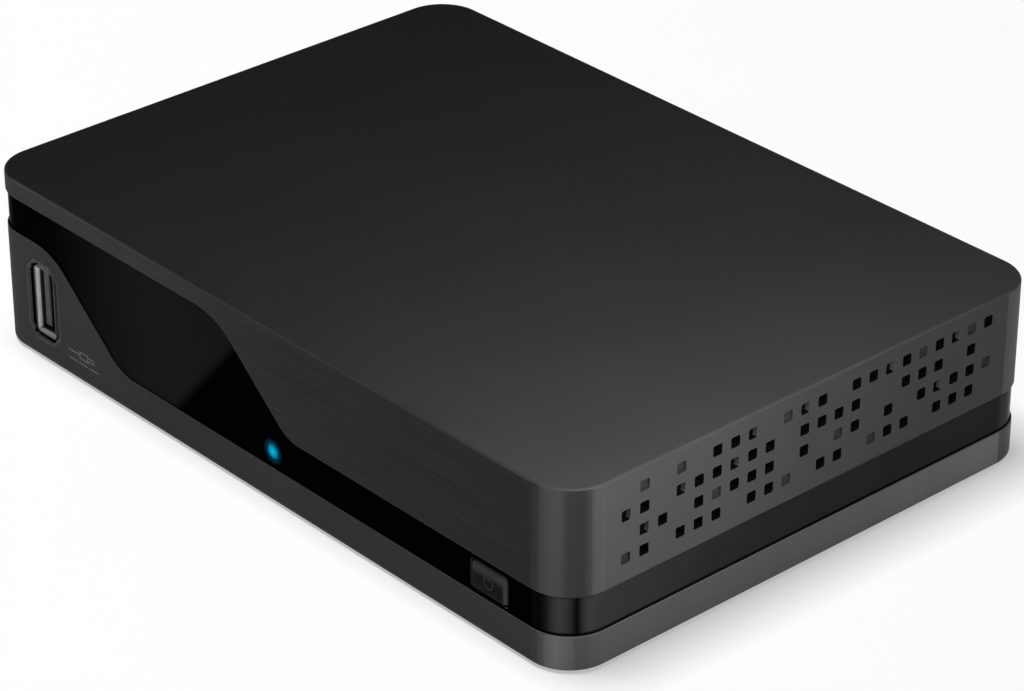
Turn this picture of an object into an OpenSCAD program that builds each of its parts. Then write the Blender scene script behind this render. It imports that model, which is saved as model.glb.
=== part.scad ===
// Television decoder box: two plastic shells parted by a recessed gloss band, with its boards,
// sockets, power button, fasteners and feet. X runs to the right, Y to the back and Z up.
// The origin is under the middle of the case, on the plane that the feet stand on.

/* [Case] */
// Width of the case
case_w = 150; // [140:1:180]
// Depth of the case
case_d = 106; // [100:1:130]
// Height of the case without its feet
case_h = 32.5; // [32:0.5:40]
// Radius of the upright corners
corner_r = 8; // [7.5:0.5:10]
// Thickness of the walls of both shells
wall = 2; // [1.6:0.1:2.2]
// Thickness of the floor and of the roof
plate = 2; // [1.6:0.1:2.2]
// Rounding of the edge round the top
top_edge_r = 0.7; // [0.3:0.1:1.2]
// Rounding of the edge round the underside
under_edge_r = 0.5; // [0.4:0.1:1.6]

/* [Stepped edges] */
// Height of the top cover's rim on its short side, at the left
cover_rim = 3.7; // [3.5:0.1:4.5]
// Height of the open band at the left
band_left_h = 6.5; // [5.5:0.1:7.5]
// Height of the bottom case on its low side, at the right
base_low = 6.25; // [5.5:0.05:6.5]
// Height of the open band at the right
band_right_h = 6.85; // [6.6:0.05:7.6]
// Slope of the steps, in degrees
step_slope = 40.5; // [36:0.5:45]
// Middle of the bottom case's front step, from the left side
base_step = 27.6; // [26:0.1:32]
// Middle of the top cover's front step, from the left side
cover_step = 73.5; // [66:0.5:76]
// Middle of both rear steps, from the nearer side
rear_step = 18; // [17:0.5:20]
// Radius of the bottom case's edge where it turns down
base_turn_r = 13; // [8:0.5:14]
// Radius of the bottom case's edge where it levels out
base_level_r = 11; // [6:0.5:12]
// Radius of the top cover's edge where it turns down
cover_turn_r = 14; // [8:0.5:16]
// Radius of the top cover's edge where it levels out
cover_level_r = 8; // [5:0.5:12]

/* [Band] */
// How far the band lies behind the outline of the shells
band_recess = 0.7; // [0.5:0.05:1]
// Thickness of the flange that laps behind the shells
band_flange = 1.2; // [1:0.1:1.4]
// How far the flange reaches behind each shell
lap_h = 1.4; // [1:0.1:1.5]
// Gap between the flange and the inside of the shells
lap_gap = 0.15; // [0.1:0.05:0.25]
// Gap at the visible seams
seam_gap = 0.1; // [0.05:0.05:0.2]

/* [Vents] */
// Width of a square vent hole
vent_size = 1.8; // [1.5:0.1:2.2]
// Distance from one vent hole to the next
vent_pitch = 3.86; // [3.6:0.02:4]
// From the top of the case to the middle of the cover's first row
vent_drop = 3.64; // [3.5:0.05:4.5]
// From the base's tall edge to the middle of its first row
base_vent_drop = 4.7; // [4:0.1:5]
// Depth of a half-deep hole
vent_half = 1; // [0.6:0.1:1.2]
// Depth of a shallow hole
vent_shallow = 0.4; // [0.2:0.1:0.5]
// Width of a cooling slot in the floor
slot_w = 2; // [1.5:0.1:2.5]
// Length of a cooling slot in the floor
slot_l = 22; // [16:1:26]
// Distance from one cooling slot to the next
slot_pitch = 5; // [4:0.5:6]
// Number of cooling slots
slot_count = 13; // [5:2:15]

/* [Feet and screws] */
// Radius of a rubber foot
foot_r = 5; // [4:0.1:5.5]
// Thickness of a rubber foot
foot_t = 1.6; // [1.3:0.1:1.9]
// How far a foot stands out of the floor
foot_proud = 0.8; // [0.6:0.1:1]
// From a corner post to the foot beside it
foot_from_post = 12; // [11:0.5:16]
// Gap round a rubber foot in its pocket
foot_gap = 0.1; // [0.05:0.05:0.2]
// Gap between a corner post and the band's flange
post_gap = 0.45; // [0.3:0.05:0.6]
// Height at which the corner posts of the two shells meet
post_meet = 12; // [10:0.5:14]
// Height of the seat of a case screw's head
case_screw_seat = 5; // [4:0.5:6]
// Length of a case screw under its head
case_screw_l = 15; // [13:0.5:18]
// Shank radius of a case screw
case_screw_r = 1.25; // [1:0.05:1.5]
// Head radius of a case screw
case_screw_head_r = 2.6; // [2.3:0.1:2.8]
// Head height of a case screw
case_screw_head_h = 1.9; // [1.5:0.1:2.4]
// Shank radius of a board screw
board_screw_r = 0.95; // [0.8:0.05:1.2]
// Head radius of a board screw
board_screw_head_r = 2.2; // [1.9:0.1:2.5]
// Head height of a board screw
board_screw_head_h = 1.6; // [1.2:0.1:2]
// Length of the arms of a screw's driver cross
cross_l = 2.6; // [2:0.1:3]
// Width of the arms of a screw's driver cross
cross_w = 0.7; // [0.5:0.05:0.9]
// Depth of a screw's driver cross
cross_depth = 0.8; // [0.5:0.1:1]
// Gap round a screw in the hole that it cuts its thread in
thread_gap = 0.05; // [0.02:0.01:0.08]
// Gap round a screw in a hole that it passes through
pass_gap = 0.35; // [0.2:0.05:0.5]

/* [Boards] */
// Thickness of the circuit boards
board_t = 1.6; // [1.2:0.1:1.8]
// Height of the posts that carry the main board
standoff_h = 3.4; // [3:0.1:3.6]
// Radius of the posts that carry the main board
standoff_r = 3; // [2.5:0.1:3.4]
// Gap from the band's flange to the main board's front edge
board_gap = 2.65; // [2.4:0.05:4]
// Gap from the corner posts to the main board's right edge
board_post_gap = 2.2; // [1:0.1:4]
// Gap from the band's flange to the main board's rear edge
board_rear_gap = 2.1; // [1.5:0.1:3]
// Gap from the upright board to the main board
board_side_gap = 1.5; // [1:0.1:2]
// From the side edges of the main board to its screws
board_hole_x = 7; // [6:0.5:8]
// From the front and rear edges of the main board to its screws
board_hole_y = 10; // [9.5:0.5:12]

/* [Power button] */
// Middle of the power button, from the right side
button_from_right = 18; // [17:0.5:24]
// Width of the power button
button_w = 8.3; // [7:0.1:10]
// From the bottom case's low edge to the bottom of the button
button_above_base = 0.35; // [0.3:0.05:0.6]
// From the top of the button to the top cover's low edge
button_below_cover = 1.2; // [1:0.1:1.8]
// How far the button stands out of the band
button_proud = 0.4; // [0.2:0.05:0.45]
// Gap round the button in the band
button_gap = 0.2; // [0.15:0.05:0.3]
// How far the rim behind the band is wider than the button
button_rim = 0.9; // [0.6:0.1:1.2]
// Thickness of the button's rim
button_rim_t = 1; // [0.8:0.1:1.2]
// Travel of the button
button_travel = 0.5; // [0.3:0.05:0.6]
// Width of the button's stem
stem_w = 2.6; // [2:0.1:3]
// Height of the switch's middle above the main board
switch_axis = 2; // [1.8:0.1:2.2]
// Size of the switch body along X
switch_w = 6.2; // [5:0.1:7]
// Size of the switch body along Y
switch_d = 3.6; // [3.2:0.1:4.5]
// Height of the switch body
switch_h = 3.6; // [3.4:0.1:4.4]
// From the main board's front edge to the switch body
switch_setback = 1; // [0.8:0.1:1.5]
// Width of the switch plunger
plunger_w = 2.6; // [2:0.1:3]
// Height of the switch plunger
plunger_h = 1.6; // [1.2:0.1:1.8]
// Length of the plunger outside the switch body
plunger_out = 0.9; // [0.8:0.05:1.2]
// Length of the plunger inside the switch body
plunger_in = 0.7; // [0.5:0.1:1]
// Gap round the plunger in the switch body
plunger_gap = 0.15; // [0.1:0.05:0.2]

/* [Light and receiver] */
// Middle of the light, from the left side
light_from_left = 77.9; // [74:0.1:84]
// Radius of the light pipe
light_r = 1.45; // [1.2:0.05:1.6]
// Height of the light pipe's axis above the main board
light_axis = 2; // [1.9:0.1:2.4]
// Gap round the light pipe in the band
light_gap = 0.08; // [0.05:0.01:0.15]
// Width of the block at the light pipe's inner end
light_block_w = 4.6; // [4.2:0.1:5.5]
// Depth of the block at the light pipe's inner end
light_block_d = 3.6; // [3.2:0.1:4.5]
// Height of the block at the light pipe's inner end
light_block_h = 4.2; // [4:0.1:5]
// Size of the light source along X
led_w = 3.2; // [2.5:0.1:3.4]
// Size of the light source along Y
led_d = 1.6; // [1.2:0.1:2]
// Height of the light source
led_h = 1.1; // [0.8:0.1:1.4]
// Gap round the light source under its block
led_gap = 0.15; // [0.1:0.05:0.2]
// Middle of the remote receiver, from the left side
receiver_from_left = 45; // [40:0.5:52]
// Size of the remote receiver along X
receiver_w = 6; // [5:0.1:7]
// Size of the remote receiver along Y
receiver_d = 4.8; // [4:0.1:6]
// Height of the remote receiver
receiver_h = 6.6; // [5.5:0.1:8]
// From the main board's front edge to the remote receiver
receiver_setback = 1.1; // [0.8:0.1:2]
// Radius of the remote receiver's lens
receiver_lens_r = 2.2; // [1.8:0.1:2.4]

/* [USB socket] */
// Middle of the USB socket, from the left side
usb_from_left = 15.2; // [15.2:0.1:16]
// Height of the USB socket's middle
usb_z = 11; // [10.5:0.1:11.5]
// Inside width of the USB socket
usb_in_w = 5.12; // [5:0.02:5.2]
// Inside height of the USB socket, which stands upright
usb_in_h = 12.5; // [12.3:0.05:12.7]
// Thickness of the USB socket's metal
usb_metal = 0.3; // [0.25:0.05:0.35]
// Depth of the USB socket
usb_d = 14; // [13:0.5:15]
// How far the USB socket lies behind the front of the case
usb_setback = 0.2; // [0.1:0.1:0.5]
// Gap round the USB socket in the case
usb_gap = 0.3; // [0.2:0.05:0.4]
// Width of the sunk rim round the USB socket
usb_rim_w = 8.8; // [8.4:0.1:9.2]
// Height of the sunk rim round the USB socket
usb_rim_h = 15.3; // [15:0.1:15.6]
// Cut corner of the sunk rim
usb_rim_cut = 2.2; // [1.2:0.1:2.6]
// Depth of the sunk rim
usb_rim_depth = 0.7; // [0.4:0.1:0.8]
// Thickness of the tongue
usb_tongue_t = 1.84; // [1.79:0.01:1.89]
// Width of the tongue
usb_tongue_w = 11.1; // [11:0.05:11.2]
// Gap between the tongue's back and the socket's metal
usb_tongue_gap = 0.7; // [0.6:0.05:0.8]
// From the mouth of the socket to the tip of the tongue
usb_tongue_setback = 1.2; // [0.4:0.1:1.5]
// Thickness of the block that closes the socket's inner end
usb_block_t = 3.5; // [3:0.5:4]
// Width of a contact
usb_contact_w = 1; // [0.8:0.1:1.2]
// Thickness of a contact
usb_contact_t = 0.2; // [0.15:0.05:0.3]
// From the tongue's tip to the contacts
usb_contact_setback = 1; // [0.8:0.1:2]
// Distance between the two outer contacts
usb_outer_span = 7; // [6.5:0.1:7.5]
// Distance between the two inner contacts
usb_inner_span = 2; // [1.8:0.1:2.5]
// Gap from the band's flange to the upright board
usb_board_gap = 0.65; // [0.4:0.05:1]
// How far the upright board reaches behind the USB socket
usb_board_tail = 8; // [7.5:0.5:12]
// How far the upright board reaches above the USB socket
usb_board_head = 1.8; // [1:0.1:2]
// Gap between the guides that hold the upright board and the USB socket above them
guide_drop = 0.4; // [0.2:0.1:0.8]
// Thickness of the guides that hold the upright board
guide_t = 1.2; // [1:0.1:1.4]
// Length of the guides that hold the upright board
guide_l = 4; // [3:0.5:6]
// From the ends of the upright board to its guides
guide_in = 4; // [2:0.5:5]
// Gap between the upright board and its guides
guide_gap = 0.1; // [0.05:0.05:0.2]
// Radius of the pins that join the boards
link_pin_r = 0.32; // [0.28:0.02:0.36]
// Distance between the pins that join the boards
link_pitch = 1.4; // [1.2:0.1:1.6]
// Number of pins that join the boards
link_count = 4; // [2:1:5]
// How far the pins stand out of the upright board
link_tail = 0.8; // [0.5:0.1:1.2]
// Side of the bar that carries the pins
link_bar = 2.5; // [2.2:0.1:3]
// From the main board's left edge to the bar
link_bar_in = 0.75; // [0.5:0.05:1.5]
// Height of the pins above the main board
link_axis = 1.25; // [1:0.05:1.5]

/* [Rear sockets] */
// Gap round the sockets in the rear panel
port_gap = 0.15; // [0.1:0.05:0.25]
// How far the sockets lie behind the face of the rear panel
port_setback = 0.3; // [0:0.05:0.5]
// Middle of the aerial socket, from the middle of the case
aerial_x = -34; // [-36:0.5:-31]
// Height of the aerial socket's axis above the main board
aerial_axis = 6.4; // [6:0.1:6.8]
// Bore radius of the aerial socket
aerial_bore_r = 4.75; // [4.5:0.05:4.9]
// Thickness of the aerial socket's metal
aerial_metal = 0.75; // [0.6:0.05:0.9]
// Length of the aerial socket
aerial_l = 14; // [13:0.5:15]
// Thickness of the insulator at the aerial socket's inner end
aerial_base = 2; // [1.5:0.1:3]
// Bore radius of the aerial socket's centre contact
aerial_pin_r = 1.2; // [1.1:0.05:1.3]
// Thickness of the centre contact's wall
aerial_pin_wall = 0.35; // [0.3:0.05:0.5]
// Size of the tuner's can along X
tuner_w = 16; // [14:0.5:20]
// Size of the tuner's can along Y
tuner_d = 32; // [24:0.5:36]
// Height of the tuner's can
tuner_h = 13.2; // [12.5:0.1:14]
// Thickness of the tuner can's metal
tuner_metal = 0.5; // [0.4:0.1:0.6]
// Middle of the Ethernet jack, from the middle of the case
ethernet_x = -13; // [-14:0.5:-12]
// Width of the Ethernet jack's plastic body
ethernet_w = 15.8; // [15.5:0.1:16]
// Height of the Ethernet jack's plastic body
ethernet_h = 13.1; // [13:0.1:13.5]
// Depth of the Ethernet jack's plastic body
ethernet_d = 20.5; // [18:0.5:21]
// Thickness of the Ethernet jack's shield
ethernet_metal = 0.25; // [0.2:0.05:0.35]
// Width of the Ethernet plug's hole
ethernet_hole_w = 11.8; // [11.7:0.05:12]
// Height of the Ethernet plug's hole
ethernet_hole_h = 6.9; // [6.8:0.05:7.2]
// Depth of the Ethernet plug's hole
ethernet_hole_d = 13; // [12:0.5:14]
// Height of the floor under the latch slot
ethernet_floor = 1.3; // [1:0.1:1.5]
// Width of the latch slot
ethernet_latch_w = 6.2; // [6:0.1:6.6]
// Height of the latch slot
ethernet_latch_h = 3.4; // [3:0.1:3.6]
// Number of the jack's contacts
ethernet_contact_count = 8; // [4:2:10]
// Distance between the jack's contacts
ethernet_pitch = 1.02; // [1:0.01:1.1]
// Width and thickness of one of the jack's contacts
ethernet_contact = 0.4; // [0.3:0.05:0.5]
// Length of one of the jack's contacts
ethernet_contact_l = 9; // [7:0.5:10]
// Middle of the HDMI socket, from the middle of the case
hdmi_x = 9; // [8:0.5:10]
// Width of the HDMI socket's shell
hdmi_w = 14.7; // [14.5:0.1:15]
// Height of the HDMI socket's shell
hdmi_h = 5.3; // [5.2:0.05:5.5]
// Cut corner of the HDMI socket's shell
hdmi_cut = 2; // [1.6:0.1:2.2]
// Thickness of the HDMI socket's metal
hdmi_metal = 0.35; // [0.3:0.05:0.4]
// Depth of the HDMI socket
hdmi_d = 11.5; // [10.5:0.5:13]
// Width of the HDMI socket's tongue
hdmi_tongue_w = 11; // [10.8:0.1:11.2]
// Thickness of the HDMI socket's tongue
hdmi_tongue_t = 1; // [0.9:0.05:1.1]
// Thickness of the block that closes the HDMI socket's inner end
hdmi_block_t = 3.6; // [3:0.1:4]
// From the mouth of the HDMI socket to its tongue's tip
hdmi_tongue_setback = 0.8; // [0.5:0.1:1.5]
// Middle of the sound and picture jack, from the middle of the case
av_x = 26; // [24:0.5:29]
// Size of the sound and picture jack along X
av_w = 7; // [6.5:0.1:8]
// Size of the sound and picture jack along Y
av_d = 12; // [12:0.5:15]
// Height of the sound and picture jack
av_h = 6.6; // [6.4:0.1:7.5]
// Nose radius of the sound and picture jack
av_nose_r = 3; // [2.7:0.1:3.1]
// Bore radius of the sound and picture jack
av_bore_r = 1.8; // [1.78:0.01:1.85]
// Bore depth of the sound and picture jack
av_bore_d = 13; // [11:0.5:14]
// Middle of the power inlet, from the middle of the case
dc_x = 42; // [38:0.5:44]
// Size of the power inlet along X
dc_w = 9; // [8.8:0.1:10]
// Size of the power inlet along Y
dc_d = 12; // [11:0.5:14]
// Height of the power inlet
dc_h = 11; // [10:0.1:12]
// Nose radius of the power inlet
dc_nose_r = 4; // [3.8:0.1:4.3]
// Bore radius of the power inlet
dc_bore_r = 3.05; // [2.95:0.05:3.2]
// Bore depth of the power inlet
dc_bore_d = 10; // [9:0.5:12]
// Radius of the power inlet's centre pin
dc_pin_r = 1; // [0.95:0.05:1.25]
// From the mouth of the power inlet to its pin's tip
dc_pin_setback = 0.8; // [0.5:0.1:1.5]

/* [On the board] */
// Middle of the processor along X
processor_x = 0; // [-4:0.5:2]
// Middle of the processor along Y
processor_y = -4; // [-6:0.5:0]
// Side of the processor
processor_size = 17; // [14:0.5:20]
// Height of the processor
processor_h = 1.3; // [1:0.1:1.8]
// Thickness of the thermal pad
pad_t = 0.6; // [0.4:0.1:1]
// Side of the heat sink
sink_size = 36; // [33:1:38]
// Height of the heat sink with its fins
sink_h = 11; // [8:0.5:14]
// Thickness of the heat sink's plate
sink_plate = 2.4; // [2:0.1:3]
// Thickness of a fin
fin_t = 1.2; // [1:0.1:1.6]
// Number of fins
fin_count = 9; // [5:1:10]
// From the heat sink's edge to its pins
sink_pin_in = 3.4; // [3:0.1:4]
// Shank radius of a heat sink pin
sink_pin_r = 1.3; // [1:0.05:1.5]
// Head radius of a heat sink pin
sink_pin_head_r = 2.4; // [2:0.1:2.6]
// Head height of a heat sink pin
sink_pin_head_h = 1.5; // [1:0.1:2]
// From the middle of the processor to the middles of the memory chips
memory_reach = 30; // [26:0.5:34]
// Distance between the memory chips
memory_pitch = 16; // [14.5:0.5:18]
// Size of a memory chip along X
memory_w = 9; // [7:0.5:10]
// Size of a memory chip along Y
memory_d = 13; // [10:0.5:14]
// Height of a memory chip
memory_h = 1.1; // [0.8:0.1:1.4]
// From the main board's left edge to the middle of the flash chip
flash_in_x = 21.5; // [18:0.5:24]
// From the main board's front edge to the middle of the flash chip
flash_in_y = 19; // [16:0.5:20]
// Size of the flash chip along X
flash_w = 18; // [14:0.5:20]
// Size of the flash chip along Y
flash_d = 11; // [8:0.5:12]
// Height of the flash chip
flash_h = 1.1; // [0.8:0.1:1.4]
// From the main board's right edge to the first column of the power section
power_in_x = 26.5; // [26:0.5:27]
// From the main board's front edge to the first row of the power section
power_in_y = 27; // [25:0.5:29]
// Distance between the columns of the power section
power_column = 10; // [9:0.5:10]
// Distance between the rows of the power section
power_row = 12; // [9:0.5:12]
// Size of a power chip along X
power_chip_w = 6.4; // [5:0.1:7]
// Size of a power chip along Y
power_chip_d = 6.2; // [5:0.1:7]
// Height of a power chip
power_chip_h = 2.3; // [1.5:0.1:3]
// Side of an inductor
inductor_size = 7; // [5:0.5:8]
// Height of an inductor
inductor_h = 4; // [3:0.1:5]
// Radius of a capacitor
capacitor_r = 3.15; // [2.5:0.05:3.6]
// Height of a capacitor
capacitor_h = 8; // [6:0.5:12]
// From the main board's front edge to the middle of the crystal
crystal_in_y = 15; // [12:0.5:17]
// Size of the crystal along X
crystal_w = 11; // [9:0.5:12]
// Size of the crystal along Y
crystal_d = 4.6; // [3.5:0.1:5]
// Height of the crystal
crystal_h = 3.5; // [2.5:0.1:4.5]
// From the Ethernet jack's shield to the transformer
transformer_gap = 5; // [3:0.5:6]
// Size of the Ethernet transformer along X
transformer_w = 10; // [8:0.5:13]
// Size of the Ethernet transformer along Y
transformer_d = 7.5; // [6:0.5:8]
// Height of the Ethernet transformer
transformer_h = 5.5; // [4:0.1:6]

/* [Hidden] */
$fn = 96;

// Points along each round stretch of a stepped edge
arc_steps = 12;
// Overlap that carries a cut clean through a face
over = 1;

// The vent field, front to back: F goes through, H is half deep and S is shallow
vent_map = [
    ".S.S.FFH.SHF.FFHFSFHSF",
    "HF.HFFHFF.FFFF..FFF.F.",
    ".HF.FSFFF.F.SF.F.FHFFS",
    "SF.FFF.FFS.FF.SFF.FFF."];

left = -case_w / 2;
right = case_w / 2;
front = -case_d / 2;
back = case_d / 2;
cover_high = case_h - cover_rim;
base_high = cover_high - band_left_h;
cover_low = base_low + band_right_h;
band_inner = wall + lap_gap + band_flange;
panel_half_w = case_w / 2 - corner_r - seam_gap;

post_at = [case_w / 2 - corner_r, case_d / 2 - corner_r];
post_r = corner_r - band_inner - post_gap;
foot_at = [post_at[0] - foot_from_post, post_at[1]];

board_z = plate + standoff_h;
board_top = board_z + board_t;
usb_w = usb_in_w + 2 * usb_metal;
usb_h = usb_in_h + 2 * usb_metal;
usb_x = left + usb_from_left;
usb_front = front + usb_setback;
usb_board_x = usb_x + usb_w / 2;
usb_board_front = front + band_inner + usb_board_gap;
usb_board_back = usb_front + usb_d + usb_board_tail;
usb_board_top = usb_z + usb_h / 2 + usb_board_head;
guide_top = usb_z - usb_h / 2 - guide_drop;
// Left face of the tongue, which lies near the socket's left wall
usb_tongue_x = usb_x - usb_in_w / 2 + usb_tongue_gap;
usb_tongue_front = usb_front + usb_tongue_setback;
usb_block_front = usb_front + usb_d - usb_block_t;
board_left = usb_board_x + board_t + board_side_gap;
board_right = post_at[0] - post_r - board_post_gap;
board_front = front + band_inner + board_gap;
board_back = back - band_inner - board_rear_gap;
board_holes = [
    for (x = [board_left + board_hole_x, board_right - board_hole_x])
        for (y = [board_front + board_hole_y, board_back - board_hole_y])
            [x, y]];

button_x = right - button_from_right;
button_bottom = base_low + button_above_base;
button_top = cover_low - button_below_cover;
button_rim_front = front + band_inner;
switch_z = board_top + switch_axis;
switch_front = board_front + switch_setback;
light_x = left + light_from_left;
light_z = board_top + light_axis;
light_block_front = board_front + led_gap;
led_y = light_block_front + light_block_d / 2;

link_y = usb_front + usb_d + usb_board_tail / 2;
link_z = board_top + link_axis;
link_bar_x = board_left + link_bar_in;
link_pin_x = usb_board_x - link_tail;

port_face = back - band_recess - port_setback;
port_seat = back - band_inner;
aerial_z = board_top + aerial_axis;
aerial_r = aerial_bore_r + aerial_metal;
aerial_inner = port_face - aerial_l;
tuner_back = port_seat - port_gap;
ethernet_inner = port_face - ethernet_d;
ethernet_latch_z = board_top + ethernet_floor;
ethernet_hole_z = ethernet_latch_z + ethernet_latch_h;
hdmi_inner = port_face - hdmi_d;
av_z = board_top + av_h / 2;
dc_z = board_top + dc_h / 2;

pad_z = board_top + processor_h;
sink_z = pad_z + pad_t;
processor_at = [processor_x, processor_y];
sink_pins_at = [
    for (s = [-1, 1])
        processor_at + s * [1, -1] * (sink_size / 2 - sink_pin_in)];
fin_pitch = (sink_size - fin_t) / (fin_count - 1);
memory_at = [
    for (s = [-1, 1])
        processor_at + [-memory_reach, s * memory_pitch / 2]];
// Columns and rows of the power section that hold chips, inductors and capacitors
power_chip_cells = [[0, 0], [0, 1], [0, 2]];
inductor_cells = [[1, 0], [1, 1]];
capacitor_cells = [[0, 3], [1, 2], [1, 3], [2, 3]];
crystal_at = [processor_x, board_front + crystal_in_y];
flash_at = [board_left + flash_in_x, board_front + flash_in_y];
transformer_back = ethernet_inner - ethernet_metal - transformer_gap;
transformer_at = [ethernet_x, transformer_back - transformer_d / 2];

charcoal = "#3a3b3d";
gloss_black = "#0c0c0e";
satin_black = "#18181a";
board_green = "#14503a";
bright_metal = "#c9ccd0";
gold = "#d9b45a";
chip_black = "#1f2023";

// Lifts the case, and all that it holds, onto its feet
module on_feet() {
    translate([0, 0, foot_proud]) children();
}

// A box given by its middle along X, its front, its bottom and its size
module block(x, y, z, size) {
    translate([x - size[0] / 2, y, z]) cube(size);
}

// A rod that runs from one place along Y to another
module rod_y(x, z, y0, y1, r) {
    translate([x, y1, z]) rotate([90, 0, 0]) cylinder(h = y1 - y0, r = r);
}

// A chip, or another small block, that sits on the main board
module on_board(at, size) {
    translate([at[0] - size[0] / 2, at[1] - size[1] / 2, board_top]) cube(size);
}

// Place of a cell of the power section, given by its column and row
function power_at(cell) = [
    board_right - power_in_x + cell[0] * power_column,
    board_front + power_in_y + cell[1] * power_row];

// Places along a row that is centred on zero
function centred(count, pitch) = [for (i = [0:count - 1]) (i - (count - 1) / 2) * pitch];

// The outline of the case seen from above, pulled in all round
module outline(inset) {
    w = case_w - 2 * inset;
    d = case_d - 2 * inset;
    r = corner_r - inset;
    square([w - 2 * r, d], center = true);
    square([w, d - 2 * r], center = true);
    for (x = [-1, 1], y = [-1, 1])
        translate([x * (w / 2 - r), y * (d / 2 - r)]) circle(r);
}

// Upright section of the case from its middle to one side, with its rounded edges
module edge_section(reach) {
    square([reach - under_edge_r, under_edge_r]);
    translate([0, under_edge_r]) square([reach, case_h - under_edge_r - top_edge_r]);
    translate([0, case_h - top_edge_r]) square([reach - top_edge_r, top_edge_r]);
    translate([reach - under_edge_r, under_edge_r]) circle(under_edge_r);
    translate([reach - top_edge_r, case_h - top_edge_r]) circle(top_edge_r);
}

module full_section(reach) {
    edge_section(reach);
    mirror([1, 0]) edge_section(reach);
}

// The whole case as one solid block
module case_block() {
    for (x = [-1, 1], y = [-1, 1])
        translate([x * post_at[0], y * post_at[1], 0]) rotate_extrude() edge_section(corner_r);
    rotate([90, 0, 90]) linear_extrude(2 * post_at[0], center = true) full_section(case_d / 2);
    rotate([90, 0, 0]) linear_extrude(2 * post_at[1], center = true) full_section(case_w / 2);
}

// The room inside the walls
module cavity() {
    translate([0, 0, plate]) linear_extrude(case_h - 2 * plate) outline(wall);
}

function arc(centre, r, from, to) = [
    for (i = [0:arc_steps])
        let (a = from + (to - from) * i / arc_steps)
            centre + r * [cos(a), sin(a)]];

// Points of an edge that runs level, turns down a slope and levels out again
function step_points(middle, high, low, turn_r, level_r) =
    let (half_run = (high - low) / tan(step_slope) / 2)
    let (turn = middle - half_run - turn_r * tan(step_slope / 2))
    let (level = middle + half_run + level_r * tan(step_slope / 2))
    concat(
        [[2 * left, -case_h], [2 * left, high]],
        arc([turn, high - turn_r], turn_r, 90, 90 - step_slope),
        arc([level, low + level_r], level_r, 270 - step_slope, 270),
        [[2 * right, low], [2 * right, -case_h]]);

// All that lies under a stepped edge, which has one step at the front and one at the back
module under_step(front_middle, rear_middle, high, low, turn_r, level_r) {
    rotate([90, 0, 0]) linear_extrude(case_d)
        polygon(step_points(front_middle, high, low, turn_r, level_r));
    translate([0, case_d, 0]) rotate([90, 0, 0]) linear_extrude(case_d)
        polygon(step_points(rear_middle, high, low, turn_r, level_r));
}

module under_base_edge(lift) {
    translate([0, 0, lift])
        under_step(left + base_step, left + rear_step, base_high, base_low, base_turn_r, base_level_r);
}

module under_cover_edge(lift) {
    translate([0, 0, lift])
        under_step(left + cover_step, right - rear_step, cover_high, cover_low, cover_turn_r, cover_level_r);
}

// All that lies over the top cover's stepped edge, lowered by a gap
module above_cover_edge(gap) {
    difference() {
        translate([-case_w, -case_d, 0]) cube([2 * case_w, 2 * case_d, 2 * case_h]);
        under_cover_edge(-gap);
    }
}

// A field of square holes cut inwards from a side wall; toward is 1 at the right and -1 at the left
module vent_field(toward, top_row_z) {
    rows = len(vent_map);
    columns = len(vent_map[0]);
    for (row = [0:rows - 1], column = [0:columns - 1]) {
        mark = vent_map[row][column];
        depth = mark == "F" ? wall + over : mark == "H" ? vent_half : vent_shallow;
        along = toward * centred(columns, vent_pitch)[column];
        if (mark != ".")
            translate([toward * (case_w / 2 - depth / 2 + over / 2), along, top_row_z - row * vent_pitch])
                cube([depth + over, vent_size, vent_size], center = true);
    }
}

// A slot with round ends, lying along Y
module round_slot(w, l, h) {
    translate([-w / 2, -(l - w) / 2, 0]) cube([w, l - w, h]);
    for (s = [-1, 1])
        translate([0, s * (l - w) / 2, 0]) cylinder(h = h, d = w);
}

// A cross-head screw that stands on its head's seat, with its head below and its shank above
module cross_screw(shank_r, shank_l, head_r, head_h) {
    neck = (head_h - cross_depth) / 2;
    translate([0, 0, -neck]) cylinder(h = neck + shank_l, r = shank_r);
    difference() {
        translate([0, 0, -head_h]) cylinder(h = head_h, r = head_r);
        for (turn = [0, 90])
            rotate([0, 0, turn]) translate([-cross_l / 2, -cross_w / 2, -head_h - over])
                cube([cross_l, cross_w, cross_depth + over]);
    }
}

module top_cover() color(charcoal) on_feet() {
    screw_end = case_screw_seat + case_screw_l;
    difference() {
        case_block();
        under_cover_edge(0);
        cavity();
        vent_field(1, case_h - vent_drop);
    }
    for (x = [-1, 1], y = [-1, 1])
        translate([x * post_at[0], y * post_at[1], post_meet]) difference() {
            cylinder(h = case_h - plate / 2 - post_meet, r = post_r);
            translate([0, 0, -over])
                cylinder(h = screw_end - post_meet + 2 * over, r = case_screw_r + thread_gap);
        }
}

// Octagon of the sunk rim round the USB socket, drawn on the front of the case
module usb_rim() {
    w = usb_rim_w / 2;
    h = usb_rim_h / 2;
    c = usb_rim_cut;
    polygon([
        [-w, -h + c], [-w + c, -h], [w - c, -h], [w, -h + c],
        [w, h - c], [w - c, h], [-w + c, h], [-w, h - c]]);
}

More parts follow.
